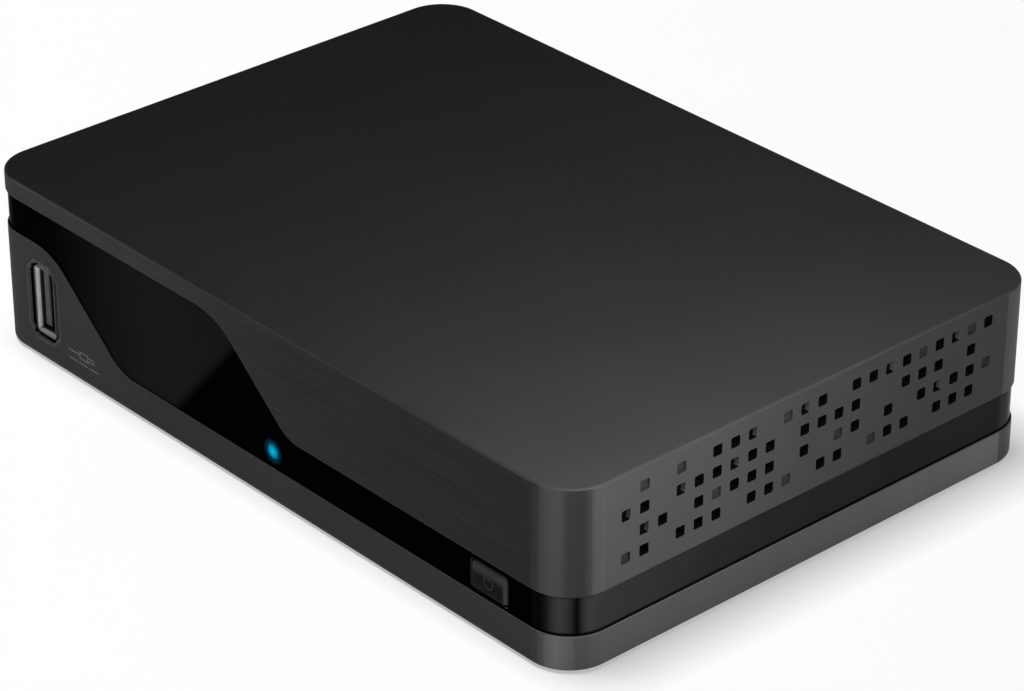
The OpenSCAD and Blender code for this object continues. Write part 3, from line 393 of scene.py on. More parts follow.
def hairlines(material, pitch, strength):
    """Adds faint level hairlines: streaks that are long along the case and fine in height."""
    nodes, link = material.node_tree.nodes, material.node_tree.links.new
    place = nodes.new("ShaderNodeTexCoord").outputs["Object"]
    stretch = nodes.new("ShaderNodeMapping")
    stretch.inputs["Scale"].default_value = (25, 25, 1 / pitch)
    streak = nodes.new("ShaderNodeTexNoise")
    streak.inputs["Scale"].default_value = 1
    streak.inputs["Detail"].default_value = 3
    shade = nodes.new("ShaderNodeMapRange")
    shade.inputs["From Min"].default_value = 0.3
    shade.inputs["From Max"].default_value = 0.7
    shade.inputs["To Min"].default_value = 1 - strength
    shade.inputs["To Max"].default_value = 1 + strength
    link(place, stretch.inputs["Vector"])
    link(stretch.outputs["Vector"], streak.inputs["Vector"])
    link(streak.outputs["Fac"], shade.inputs["Value"])
    shade_by(material, shade.outputs["Result"])


def paint_light_along(material, value, tones):
    """Paints light and shade into a finish along a value. Each tone is a value, rising, and how light the
    painted finish is there.
    """
    nodes, link = material.node_tree.nodes, material.node_tree.links.new
    first, last = tones[0][0], tones[-1][0]
    part = nodes.new("ShaderNodeMapRange")
    part.inputs["From Min"].default_value = first
    part.inputs["From Max"].default_value = last
    ramp = nodes.new("ShaderNodeValToRGB")
    ramp.color_ramp.interpolation = "EASE"
    marks = ramp.color_ramp.elements
    for spot, tone in tones[1:-1]:
        marks.new((spot - first) / (last - first))
    for mark, (spot, tone) in zip(marks, tones):
        mark.position = (spot - first) / (last - first)
        mark.color = (tone, tone, tone, 1)
    link(value, part.inputs["Value"])
    link(part.outputs["Result"], ramp.inputs["Fac"])
    shade_by(material, ramp.outputs["Color"])


def paint_corner_light(material, tones):
    """Paints light and shade into a finish round the case's upright corners, by the turn from the front or
    back to the side: painted highlights and painted dark stripes.
    """
    nodes, link = material.node_tree.nodes, material.node_tree.links.new
    split = nodes.new("ShaderNodeSeparateXYZ")
    link(nodes.new("ShaderNodeTexCoord").outputs["Object"], split.inputs["Vector"])
    past = []
    for axis, straight in (("X", half_w - corner_r), ("Y", half_d - corner_r)):
        size = nodes.new("ShaderNodeMath")
        size.operation = "ABSOLUTE"
        over_edge = nodes.new("ShaderNodeMath")
        over_edge.operation = "SUBTRACT"
        over_edge.inputs[1].default_value = straight
        link(split.outputs[axis], size.inputs[0])
        link(size.outputs["Value"], over_edge.inputs[0])
        past.append(over_edge.outputs["Value"])
    turn = nodes.new("ShaderNodeMath")
    turn.operation = "ARCTAN2"
    link(past[0], turn.inputs[0])
    link(past[1], turn.inputs[1])
    paint_light_along(material, turn.outputs["Value"], [(math.radians(angle), tone) for angle, tone in tones])


def paint_light_by_place(material, axis, tones):
    """Paints light and shade into a finish along X, Y or Z. Each tone is a place, rising, and how light the
    finish is there.
    """
    nodes, link = material.node_tree.nodes, material.node_tree.links.new
    split = nodes.new("ShaderNodeSeparateXYZ")
    link(nodes.new("ShaderNodeTexCoord").outputs["Object"], split.inputs["Vector"])
    paint_light_along(material, split.outputs[axis], tones)


def shell_finishes(lightness, front_lightness, lines, front_painted_light, corner_painted_light, side_painted_light):
    """Finishes of a shell: satin, brushed for its flat front, and one each for its corners and its sides.
    The brushed front carries painted light that changes along the case, the corners painted highlights and
    painted shade, and the sides painted light that changes from front to back.
    """
    dark, light = [[shade * lightness] * 3 for shade in (0.040, 0.045)]
    satin, corner, side = [
        finish_of(
            "shell_" + name, dark, light, (0.42, 0.5),
            patch=30 * mm, grain=0.35 * mm, grain_depth=0.02 * mm, level=level)
        for name, level in (("plastic", 0.04), ("corner", 0.12), ("side", 0.05))]
    paint_corner_light(corner, corner_painted_light)
    paint_light_by_place(side, "Y", side_painted_light)
    brushed = finish_of(
        "shell_brushed", [0.034 * front_lightness] * 3, [0.039 * front_lightness] * 3, (0.5, 0.6),
        patch=30 * mm, grain=0.35 * mm, grain_depth=0.02 * mm, level=0.01)
    hairlines(brushed, 0.5 * mm, lines)
    paint_light_by_place(brushed, "X", front_painted_light)
    return satin, brushed, corner, side


def dress_walls(piece, finishes):
    """Gives a shell its satin finish, and the others, which carry painted light and shade, to its flat
    front, its corners and its sides.
    """
    for finish in finishes:
        piece.data.materials.append(finish)
    for face in piece.data.polygons:
        past_x = abs(face.center.x) > half_w - corner_r
        past_y = abs(face.center.y) > half_d - corner_r
        upright = abs(face.normal.z) < 0.5
        left_corner = past_x and past_y and upright and face.center.x < 0 and face.normal.y < -0.05
        if left_corner or (face.normal.y < -0.999 and face.center.y < hair - half_d):
            face.material_index = 1
        elif past_x and past_y and upright:
            face.material_index = 2
        elif abs(face.normal.x) > 0.99 and abs(face.center.x) > half_w - hair:
            face.material_index = 3


# The lower shell's front, corners and sides carry painted light and shade, given by the tones below.
base_finishes = shell_finishes(
    lightness=1.2, front_lightness=1.2, lines=0.05,
    front_painted_light=[(-75 * mm, 0.78), (-30 * mm, 0.84), (0, 0.92), (65 * mm, 0.93)],
    corner_painted_light=[
        (0, 0.48), (6, 0.45), (14, 0.95), (22, 1.55), (32, 1.75), (42, 1.35), (49, 1.12), (56, 0.76),
        (66, 0.74), (76, 0.82), (90, 0.86)],
    side_painted_light=[
        (-45 * mm, 0.97), (-20 * mm, 1.0), (0, 1.1), (12 * mm, 1.23), (25 * mm, 1.5), (45 * mm, 1.9)])
shell_finish = base_finishes[0]

lower_shell = new_piece("lower_shell", loft("lower_shell", [
    shell_section(s, base_edges, base_under, 1, under_edge_r, underside - base_under)
    for run in case_stations() for s in run]))
dress_walls(lower_shell, base_finishes)

post_at = [(x, y) for x in (-67 * mm, 67 * mm) for y in (-45 * mm, 45 * mm)]
foot_at = [(x, y) for x in (-55 * mm, 55 * mm) for y in (-45 * mm, 45 * mm)]
board_box_low, board_box_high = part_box("main_board")
board_hole_at = [
    (x, y)
    for x in (board_box_low.x + 7 * mm, board_box_high.x - 7 * mm)
    for y in (board_box_low.y + 10 * mm, board_box_high.y - 10 * mm)]
post_r, post_meet = 4.2 * mm, underside + 12 * mm
standoff_r, floor_top = 3 * mm, underside + plate
fillet = 0.6 * mm


def boss(name, radius, root, tip):
    """A moulded post that flares into the plate at its root and has a softened edge at its tip."""
    way = 1 if tip > root else -1
    sunk = root - way * plate / 2
    return turned(name, [
        (0, sunk), (radius + fillet, sunk),
        *[(radius + fillet * (1 - s), root + way * fillet * (1 - c)) for s, c in quarter(4)],
        *[(radius - inner_rim_r * (1 - c), tip - way * inner_rim_r * (1 - s)) for s, c in quarter(3)],
        (0, tip)], 32)


for name, spots, radius, top in (
        ("corner_posts", post_at, post_r, post_meet),
        ("standoffs", board_hole_at, standoff_r, board_box_low.z)):
    carve(lower_shell, grow(
        name, pieces_on_points, [(x, y, 0) for x, y in spots],
        Piece=boss(name + "_one", radius, floor_top, top), Finish=shell_finish), "UNION")

screw_seat = underside + 5 * mm
bevel = 0.25 * mm
over = 1 * mm


def round_cutter(name, radius, mouth, end):
    """A drill along Z whose mouth is flared to leave a small bevel; mouth and end are heights."""
    way = 1 if end > mouth else -1
    return turned(name, [
        (0, mouth - way * over), (radius + bevel + over, mouth - way * over),
        (radius, mouth + way * bevel), (radius, end), (0, end)])


for name, spots, radius, mouth, end in (
        ("screw_holes", post_at, 1.6 * mm, screw_seat, post_meet + over),
        ("screw_wells", post_at, 2.95 * mm, base_under, screw_seat),
        ("foot_pockets", foot_at, 5.1 * mm, base_under, underside + 0.8 * mm),
        ("board_screw_holes", board_hole_at, 1 * mm, board_box_low.z, floor_top)):
    carve(lower_shell, grow(
        name, pieces_on_points, [(x, y, 0) for x, y in spots],
        Piece=round_cutter(name + "_one", radius, mouth, end), Finish=shell_finish))


def from_above(x=0.0, y=0.0):
    """Placing for an outline that is drawn from above about a middle and runs along Z."""
    return lambda along, across, z: Vector((x + along, y + across, z))


slot_half_w, slot_half_l = 1 * mm, 11 * mm
slot_outline = rounded_outline(rectangle(slot_half_w, slot_half_l), slot_half_w * 0.999, 8)
slot_levels = [
    (base_under - over, bevel + over), (base_under + bevel, 0),
    (floor_top - bevel, 0), (floor_top + over, bevel + over)]
carve(lower_shell, grow(
    "cooling_slots", row_of_pieces, Count=13, First=(-30 * mm, 0, 0), Step=(5 * mm, 0, 0),
    Piece=prism("slot_one", slot_outline, slot_levels, from_above()), Finish=shell_finish))

# The vent field, front to back: F goes through the wall, H is half deep and S is shallow.
vent_map = [
    ".S.S.FFH.SHF.FFHFSFHSF",
    "HF.HFFHFF.FFFF..FFF.F.",
    ".HF.FSFFF.F.SF.F.FHFFS",
    "SF.FFF.FFS.FF.SFF.FFF."]
vent_depth = {"F": wall + over, "H": 1 * mm, "S": 0.4 * mm}
vent_half, vent_pitch, vent_bevel, vent_forward = 0.9 * mm, 3.86 * mm, 0.08 * mm, 0.25 * mm
# Painted shade for the insides of the vents: near black for the deep and half deep ones, dim for the shallow
# ones.
deep_vent_shade, half_vent_shade, shallow_vent_shade = [
    finish_of(
        name, [shade] * 3, [1.4 * shade] * 3, (0.6, 0.7),
        patch=3 * mm, grain=0.3 * mm, grain_depth=0.02 * mm, level=0.02)
    for name, shade in (("vent_black", 0.0015), ("vent_half", 0.0016), ("vent_dim", 0.018))]
vent_painted_shade = {"F": deep_vent_shade, "H": half_vent_shade, "S": shallow_vent_shade}


def cut_vents(piece, toward, top_row_z):
    """Cuts the field of square vents into a side wall; toward is 1 at the right and -1 at the left. The
    vents' insides take painted shade, near black in the deep and half deep ones and dim in the shallow ones.
    The far side of a half deep vent keeps the shell's own finish, which catches the light."""
    face = toward * half_w

    def vent_place(line, column):
        along = (column - (len(vent_map[line]) - 1) / 2) * vent_pitch - vent_forward
        return face, toward * along, top_row_z - line * vent_pitch

    for kind, depth in vent_depth.items():
        spots = [
            vent_place(line, column)
            for line, row in enumerate(vent_map) for column, mark in enumerate(row) if mark == kind]
        levels = [(over, vent_bevel + over), (-vent_bevel, 0), (-depth, 0)]
        outline = rounded_outline(rectangle(vent_half, vent_half), 0.2 * mm, 3)
        one = prism("vent_one", outline, levels, lambda y, z, x: Vector((toward * x, y, z)))
        carve(piece, grow("vents", pieces_on_points, spots, Piece=one, Finish=vent_painted_shade[kind]))
    finishes = [slot.material for slot in piece.material_slots]
    half_index = finishes.index(half_vent_shade)
    for polygon in piece.data.polygons:
        if polygon.material_index == half_index and polygon.normal.y * toward < -0.5:
            polygon.material_index = 0


cut_vents(lower_shell, -1, base_tall - 4.7 * mm)

usb_low, usb_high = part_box("usb_shell")
usb_x, usb_z = (usb_low.x + usb_high.x) / 2, (usb_low.z + usb_high.z) / 2
usb_half_w, usb_half_h = (usb_high.x - usb_low.x) / 2, (usb_high.z - usb_low.z) / 2
usb_gap = 0.3 * mm
rim_half_w, rim_half_h, rim_cut, rim_depth = 4.4 * mm, 7.65 * mm, 2.2 * mm, 0.7 * mm
rim_corners = [Vector(c) for c in (
    (-rim_half_w, rim_cut - rim_half_h), (rim_cut - rim_half_w, -rim_half_h),
    (rim_half_w - rim_cut, -rim_half_h), (rim_half_w, rim_cut - rim_half_h),
    (rim_half_w, rim_half_h - rim_cut), (rim_half_w - rim_cut, rim_half_h),
    (rim_cut - rim_half_w, rim_half_h), (-rim_half_w, rim_half_h - rim_cut))]


def at_usb(x, z, y):
    """A point of the USB socket, from its middle and the case's front face."""
    return Vector((usb_x + x, y - half_d, usb_z + z))


# Painted shade: a near black finish that stands in for the shade deep in the USB opening.
recess_painted_shade = finish_of(
    "recess_painted_shade", (0.002, 0.002, 0.002), (0.003, 0.003, 0.003), (0.6, 0.7),
    patch=3 * mm, grain=0.3 * mm, grain_depth=0.01 * mm, level=0.02)


def paint_shade_inside(tool, depth):
    """Gives the faces of a cutter that lie deeper than a depth behind the front the near black finish of
    painted shade.
    """
    tool.data.materials.append(shell_finish)
    tool.data.materials.append(recess_painted_shade)
    for polygon in tool.data.polygons:
        polygon.material_index = int(polygon.center.y > depth - half_d)
    return tool


# The recess, the back of the raised rim and the gap round the tube take that painted shade where they lie
# deep.
rim_outline = rounded_outline(rim_corners, 0.6 * mm, 4)
carve(lower_shell, paint_shade_inside(prism(
    "usb_recess", rim_outline, [(-over, -0.2 * mm), (rim_depth, -0.2 * mm)], at_usb), 0.3 * mm))
rim_profile = [
    (0.75, 0.3), (0.0, 0.3), (-0.12, 0.16), (-0.18, -0.02), (-0.12, -0.2), (0.05, -0.36), (0.3, -0.44),
    (0.75, -0.44)]
carve(lower_shell, paint_shade_inside(prism(
    "usb_rim", rim_outline, [(y * mm, grown * mm) for y, grown in rim_profile], at_usb, hollow=True),
    0.25 * mm), "UNION")
carve(lower_shell, paint_shade_inside(prism(
    "usb_hole", rounded_outline(rectangle(usb_half_w + usb_gap, usb_half_h + usb_gap), 0.5 * mm, 3),
    [(rim_depth - over, 0), (wall + over, 0)], at_usb), 0))
upright_low, upright_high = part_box("usb_board")
guide_at = [
    (x, y, 0)
    for x in (upright_low.x - 0.7 * mm, upright_high.x + 0.7 * mm)
    for y in (upright_low.y + 6 * mm, upright_high.y - 6 * mm)]
guide_top = usb_low.z - 0.4 * mm
carve(lower_shell, grow(
    "board_guides", pieces_on_points, guide_at,
    Piece=prism(
        "guide_one", rounded_outline(rectangle(0.6 * mm, 2 * mm), 0.3 * mm, 2),
        [(floor_top - over, 0), (guide_top - 0.3 * mm, 0), (guide_top, -0.2 * mm)],
        from_above()),
    Finish=shell_finish), "UNION")
mounted(lower_shell, "bottom_case")


# Rubber feet: four black discs, cast with a rounded tread and a shallow dish in the middle. Each is pressed
# into its pocket in the floor and keeps the case clear of the table.
foot_r, foot_t, tread_r = 5 * mm, 1.6 * mm, 0.5 * mm
rubber_finish = finish_of(
    "foot_rubber", (0.012, 0.012, 0.0125), (0.02, 0.02, 0.0205), (0.75, 0.9),
    patch=3 * mm, grain=0.2 * mm, grain_depth=0.03 * mm, level=0.3)
foot_profile = [
    (0, 0.25 * mm), (2.6 * mm, 0.25 * mm), (2.9 * mm, 0), (foot_r - tread_r, 0),
    *[(foot_r - tread_r * (1 - s), tread_r * (1 - c)) for s, c in quarter(5)],
    (foot_r, foot_t), (0, foot_t)]
feet = grow(
    "feet", pieces_on_points, [(x, y, 0) for x, y in foot_at],
    Piece=turned("foot_one", foot_profile), Finish=rubber_finish)
mounted(feet, "rubber_feet")


# Middle band: a polished black ring moulded with a flange that laps behind both shells. Its flat front
# is a smoked window for the remote receiver, and round the light it glows a little.
seam_gap, band_tuck = 0.1 * mm, 0.2 * mm
flange_out, flange_in, lap = 2.15 * mm, 3.35 * mm, 1.4 * mm


def band_section(station, recess=band_recess):
    """Points round the band's section: its face, tucked in behind both rims, and the flange behind it."""
    low_edge, along, low_pitch = edge_at(base_edges, station)
    high_edge, along, high_pitch = edge_at(cover_edges, station)
    low = low_edge - band_tuck / math.cos(low_pitch)
    high = high_edge + band_tuck / math.cos(high_pitch)
    return [
        Vector((*(station.place - station.out * inset), z))
        for inset, z in (
            (recess, low), (recess, high), (flange_out, high), (flange_out, high_edge + lap),
            (flange_in, high_edge + lap), (flange_in, low_edge - lap), (flange_out, low_edge - lap),
            (flange_out, low))]


# The band's corner and side finishes carry painted reflections: light and dark stripes round the corners,
# and on the sides light that fades from the front to the back.
gloss_finish, corner_painted_reflection, side_painted_reflection = [
    finish_of(
        name, (0.006, 0.006, 0.006), (0.009, 0.009, 0.009), (0.1, 0.16),
        patch=20 * mm, grain=2 * mm, grain_depth=0.002 * mm, level=level)
    for name, level in (("band_gloss", 0.2), ("band_corner", 0.01), ("band_side", 0.03))]
paint_corner_light(corner_painted_reflection, [
    (8, 0.0), (13, 0.2), (18, 0.7), (23, 1.75), (28, 3.2), (34, 3.9), (43, 2.9), (48, 1.95), (53, 0.6),
    (56.5, 0.15), (61, 1.3), (65, 2.5), (70, 3.3), (76, 3.1), (90, 2.8)])
paint_light_by_place(side_painted_reflection, "Y", [
    (-45 * mm, 2.5), (-37 * mm, 2.1), (-30 * mm, 1.7), (-20 * mm, 1.35), (-8 * mm, 1.05), (8 * mm, 0.85),
    (20 * mm, 0.8), (45 * mm, 0.85)])
# Painted shade along the foot of the band, where it meets the low edge of the lower shell.
for finish in (corner_painted_reflection, side_painted_reflection):
    paint_light_by_place(finish, "Z", [
        (base_short, 0.0), (base_short + 0.3 * mm, 0.2), (base_short + 0.6 * mm, 1.0)])

light_low, light_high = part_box("light_pipe")
light_x = (light_low.x + light_high.x) / 2 + 0.4 * mm
light_r = 1.45 * mm
light_z = underside + 9 * mm
light_face = -half_d + band_recess


def window_finish():
    """Smoked black with a painted reflection, a paler stretch at the left that ends on a soft slant, and a
    glow by the light.
    """
    material = finish_of(
        "smoked_window", (0.0002, 0.0002, 0.0002), (0.0105, 0.0105, 0.0105), (0.12, 0.18),
        patch=20 * mm, grain=2 * mm, grain_depth=0.002 * mm, level=0.001)
    # Mask of the painted reflection: it rises from the left end and stops at a soft slant.
    slant_by_height, slant_dark, slant_lit = -0.889, -27.2 * mm, -30.6 * mm
    fade_start, fade_end = -half_w + 12 * mm, -half_w + 48 * mm
    nodes, link = material.node_tree.nodes, material.node_tree.links.new
    shader, tint = nodes["Principled BSDF"], nodes["tint"]
    place = nodes.new("ShaderNodeTexCoord").outputs["Object"]
    split = nodes.new("ShaderNodeSeparateXYZ")
    slant = nodes.new("ShaderNodeMath")
    slant.operation = "MULTIPLY_ADD"
    slant.inputs[1].default_value = slant_by_height
    clear = nodes.new("ShaderNodeMapRange")
    clear.interpolation_type = "SMOOTHSTEP"
    clear.inputs["From Min"].default_value = slant_dark
    clear.inputs["From Max"].default_value = slant_lit
    fade = nodes.new("ShaderNodeMapRange")
    fade.interpolation_type = "SMOOTHSTEP"
    fade.inputs["From Min"].default_value = fade_start
    fade.inputs["From Max"].default_value = fade_end
    both = nodes.new("ShaderNodeMath")
    both.operation = "MULTIPLY"
    link(place, split.inputs["Vector"])
    link(split.outputs["Z"], slant.inputs[0])
    link(split.outputs["X"], slant.inputs[2])
    link(slant.outputs["Value"], clear.inputs["Value"])
    link(split.outputs["X"], fade.inputs["Value"])
    link(clear.outputs["Result"], both.inputs[0])
    link(fade.outputs["Result"], both.inputs[1])
    link(both.outputs["Value"], tint.inputs["Fac"])
    tint.color_ramp.elements[0].position = 0
    tint.color_ramp.elements[1].position = 1
    from_light = nodes.new("ShaderNodeVectorMath")
    from_light.operation = "DISTANCE"
    from_light.inputs[1].default_value = (light_x, light_face, light_z)
    glow = nodes.new("ShaderNodeMapRange")
    glow.interpolation_type = "SMOOTHSTEP"
    glow.inputs["From Min"].default_value = light_r + 1.2 * mm
    glow.inputs["From Max"].default_value = light_r - 0.3 * mm
    glow.inputs["To Max"].default_value = 0.13
    link(place, from_light.inputs[0])
    link(from_light.outputs["Value"], glow.inputs["Value"])
    shader.inputs["Emission Color"].default_value = (0.0, 0.25, 0.5, 1)
    link(glow.outputs["Result"], shader.inputs["Emission Strength"])
    return material


corner_runs = case_stations()
back_corner = corner_runs[3]
straight_start = next(i for i, s in enumerate(corner_runs[2]) if s.place.x < half_w - corner_r)
band_run = back_corner + corner_runs[0] + corner_runs[1] + corner_runs[2][:straight_start]
band = new_piece("gloss_band", loft("gloss_band", [band_section(s) for s in band_run], False, True))
for finish in (gloss_finish, window_finish(), corner_painted_reflection, side_painted_reflection):
    band.data.materials.append(finish)
for face in band.data.polygons:
    flat_front = face.normal.y < -0.999 and face.center.y < light_face + hair
    left_corner = face.normal.y < -0.05 and face.center.x < corner_r - half_w
    past_x = abs(face.center.x) > half_w - corner_r
    past_y = abs(face.center.y) > half_d - corner_r
    if flat_front or left_corner:
        face.material_index = 1
    elif past_x and past_y and abs(face.normal.z) < 0.5:
        face.material_index = 2
    elif abs(face.normal.x) > 0.99:
        face.material_index = 3

button_low, button_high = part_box("power_button")
button_x = (button_low.x + button_high.x) / 2
button_half_w, button_half_h = 4.15 * mm, 2.65 * mm
button_z = underside + 9.25 * mm
button_gap, button_corner_r = 0.2 * mm, 0.9 * mm
hole_bevel, hole_depth = 0.1 * mm, 5 * mm


def set_along_y(piece, x, z, facing):
    """Lays a piece that was made about Z along Y, facing the front or the back, at a place on the case."""
    reach = Matrix.Rotation(math.pi / 2 * facing, 4, "X")
    piece.data.transform(Matrix.Translation((x, 0, z)) @ reach)
    return piece


def at_button(x, z, y):
    """A point of the power button, from its middle; y is its place along the case."""
    return Vector((button_x + x, y, button_z + z))


carve(band, set_along_y(
    turned("light_hole", [
        (0, over - light_face), (light_r + 0.02 * mm, over - light_face),
        (light_r + 0.02 * mm, -light_face - hole_depth), (0, -light_face - hole_depth)], 64),
    light_x, light_z, 1))
button_opening = rectangle(button_half_w + button_gap, button_half_h + button_gap)
carve(band, prism(
    "button_hole", rounded_outline(button_opening, button_corner_r, 4),
    [(light_face - over, over + hole_bevel), (light_face + hole_bevel, 0), (light_face + hole_depth, 0)],
    at_button))
mounted(band, "middle_band")


# USB socket: a drawn tube of bright steel that stands upright behind the sunk rim, soldered to the
# small board beside it. A grey plastic tongue inside carries four gilt contact strips, and springs
# pressed out of the tube's sides grip the plug.
usb_metal, lip = 0.3 * mm, 0.1 * mm
usb_mouth, usb_end = usb_low.y + half_d, usb_high.y + half_d
tongue_half_t, tongue_half_w = 0.92 * mm, 5.55 * mm
tongue_x = usb_metal + 0.7 * mm + tongue_half_t - usb_half_w
tongue_tip, tongue_bevel = usb_mouth + 1.2 * mm, 0.25 * mm
block_front = usb_end - 3.5 * mm

steel_finish = finish_of(
    "bright_steel", (0.60, 0.60, 0.61), (0.74, 0.74, 0.75), (0.22, 0.34),
    patch=2 * mm, grain=0.15 * mm, grain_depth=0.004 * mm, metal=1.0)
white_finish = finish_of(
    "white_plastic", (0.60, 0.60, 0.585), (0.70, 0.70, 0.685), (0.35, 0.45),
    patch=4 * mm, grain=0.15 * mm, grain_depth=0.008 * mm)
gilt_finish = finish_of(
    "contact_gilt", (0.78, 0.56, 0.22), (0.88, 0.66, 0.30), (0.18, 0.3),
    patch=1 * mm, grain=0.1 * mm, grain_depth=0.003 * mm, metal=1.0)

# The tube's finish is pale and not metal, with painted light and shade along it: dark for the first 0.3 mm
# behind the front, painted light on the inner walls from 0.4 to 1.05 mm, and painted shade from 1.4 mm on
# and on the right side of the tube. The springs inside take it too.
tube_painted_light = finish_of(
    "usb_tube_painted_light", (0.88, 0.88, 0.88), (0.94, 0.94, 0.94), (0.3, 0.4),
    patch=2 * mm, grain=0.15 * mm, grain_depth=0.004 * mm)
paint_light_by_place(tube_painted_light, "Y", [
    (depth * mm - half_d, tone)
    for depth, tone in ((0.2, 0.04), (0.3, 0.04), (0.4, 1.0), (1.05, 1.0), (1.4, 0.03), (4, 0.02))])
paint_light_by_place(tube_painted_light, "X", [
    (usb_x + usb_half_w - 0.7 * mm, 1.0), (usb_x + usb_half_w - 0.35 * mm, 0.15)])
# The tongue is grey plastic, given painted shade from about 1.5 mm behind the front, so that it darkens
# deeper in.
grey_tongue_painted_shade = finish_of(
    "tongue_plastic", (0.062, 0.062, 0.062), (0.075, 0.075, 0.074), (0.4, 0.5),
    patch=4 * mm, grain=0.15 * mm, grain_depth=0.008 * mm, level=0.1)
paint_light_by_place(grey_tongue_painted_shade, "Y", [
    (depth * mm - half_d, tone) for depth, tone in ((1.4, 1.0), (1.5, 0.7), (1.65, 0.05), (3, 0.04))])

usb_tube = prism("usb_tube", rounded_outline(rectangle(usb_half_w, usb_half_h), 0.8 * mm, 6), [
    (usb_end, 0), (usb_mouth + lip, 0), (usb_mouth, -lip), (usb_mouth, lip - usb_metal),
    (usb_mouth + lip, -usb_metal), (usb_end, -usb_metal)], at_usb, hollow=True)
usb_tube.data.materials.append(tube_painted_light)

usb_core = prism(
    "usb_core", rounded_outline(rectangle(tongue_half_t, tongue_half_w), 0.3 * mm, 3),
    [(tongue_tip, -tongue_bevel), (tongue_tip + tongue_bevel, 0), (block_front + over, 0)],
    lambda x, z, y: at_usb(tongue_x + x, z, y))
carve(usb_core, prism(
    "usb_block", rounded_outline(rectangle(usb_half_w - usb_metal, usb_half_h - usb_metal), 0.5 * mm, 3),
    [(block_front, -lip), (block_front + lip, 0), (usb_end, 0)], at_usb), "UNION")
usb_core.data.materials.append(grey_tongue_painted_shade)

strip_half_t, strip_half_w = 0.1 * mm, 0.5 * mm
strip_start = tongue_tip + 1 * mm
strip_one = prism(
    "strip_one", rounded_outline(rectangle(strip_half_t, strip_half_w), 0.06 * mm, 2),
    [(strip_start, -0.04 * mm), (strip_start + 0.08 * mm, 0), (block_front, 0)], at_usb)
usb_strips = grow(
    "usb_strips", pieces_on_points,
    [(tongue_x + tongue_half_t + strip_half_t, 0, z * mm) for z in (-3.5, -1, 1, 3.5)],
    Piece=strip_one, Finish=gilt_finish)

spring_path = [(9, 0.0), (6.5, 0.12), (4.5, 0.5), (3.4, 0.62), (2.6, 0.42)]
spring_half_w, spring_t = 1.1 * mm, 0.2 * mm


def usb_spring(name, side):
    """A strip pressed out of a side wall of the tube, which bows inwards to grip a plug."""
    wall_x = side * (usb_half_w - usb_metal)
    corners = (
        (0, -spring_half_w), (0, spring_half_w), (spring_t, spring_half_w), (spring_t, -spring_half_w))
    sections = [
        [at_usb(wall_x - side * (bow * mm + depth), z, usb_mouth + y * mm) for depth, z in corners]
        for y, bow in spring_path]
    return new_piece(name, loft(name, sections, goes_round=False, ring=True))


for side, name in ((-1, "usb_springs_left"), (1, "usb_springs_right")):
    springs = grow(
        name, pieces_on_points, [(0, 0, -3.2 * mm), (0, 0, 3.2 * mm)],
        Piece=usb_spring(name + "_one", side), Finish=tube_painted_light)
    mounted(springs)

for piece, node, slot in (
        (usb_tube, "usb_shell", "bright_steel"),
        (usb_core, "usb_tongue", "white_plastic"),
        (usb_strips, "usb_contacts", "contact_gilt")):
    mounted(piece, node)


# Mark of the USB socket: a small plug and a broken rule under it. Both are printed in grey ink on the front
# of the lower shell, and the ink stands a hair proud of it.
mark_x, mark_z = 26.4 * mm - half_w, underside + 4.3 * mm
ink_finish = finish_of(
    "mark_ink", (0.1, 0.1, 0.1), (0.12, 0.12, 0.12), (0.5, 0.6),
    patch=1 * mm, grain=0.1 * mm, grain_depth=0.002 * mm, level=0.05)
mark_bars = [
    (-2.9, 0.5, 1.6, 0.14), (-1.2, 0.5, 0.16, 0.75), (-0.1, 1.1, 1.2, 0.15), (-0.1, -0.1, 1.2, 0.15),
    (1.0, 0.5, 0.16, 0.75), (1.9, 0.85, 0.9, 0.14), (1.9, 0.15, 0.9, 0.14), (2.8, 0.5, 0.14, 0.45),
    (-3.2, -1.1, 1.1, 0.14), (-0.4, -1.1, 1.3, 0.14), (2.7, -1.1, 1.4, 0.14)]


def mark_bar(x, z, half_a, half_b):
    """A bar of the printed mark, a hair proud of the shell."""
    return prism(
        "mark_bar", rounded_outline(rectangle(half_a * mm, half_b * mm), 0.05 * mm, 2),
        [(-0.02 * mm - half_d, 0), (0.02 * mm - half_d, 0)],
        lambda along, up, y: Vector((mark_x + x * mm + along, y, mark_z + z * mm + up)))


socket_mark = mark_bar(*mark_bars[0])
socket_mark.name = "socket_mark"
for bar in mark_bars[1:]:
    carve(socket_mark, mark_bar(*bar), "UNION")
socket_mark.data.materials.append(ink_finish)
mounted(socket_mark)


# Power button: a key of polished black plastic with softly rounded edges and a printed power sign. A rim
# behind the band keeps it in, and the stem at its back presses the switch on the board.
button_face, stem_end = button_low.y - 0.25 * mm, button_high.y
button_edge = 0.65 * mm
key_rim_front, key_rim_grow, key_rim_t = flange_in - half_d, 0.9 * mm, 1 * mm
plunger_low, plunger_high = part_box("switch_plunger")
stem_z = (plunger_low.z + plunger_high.z) / 2


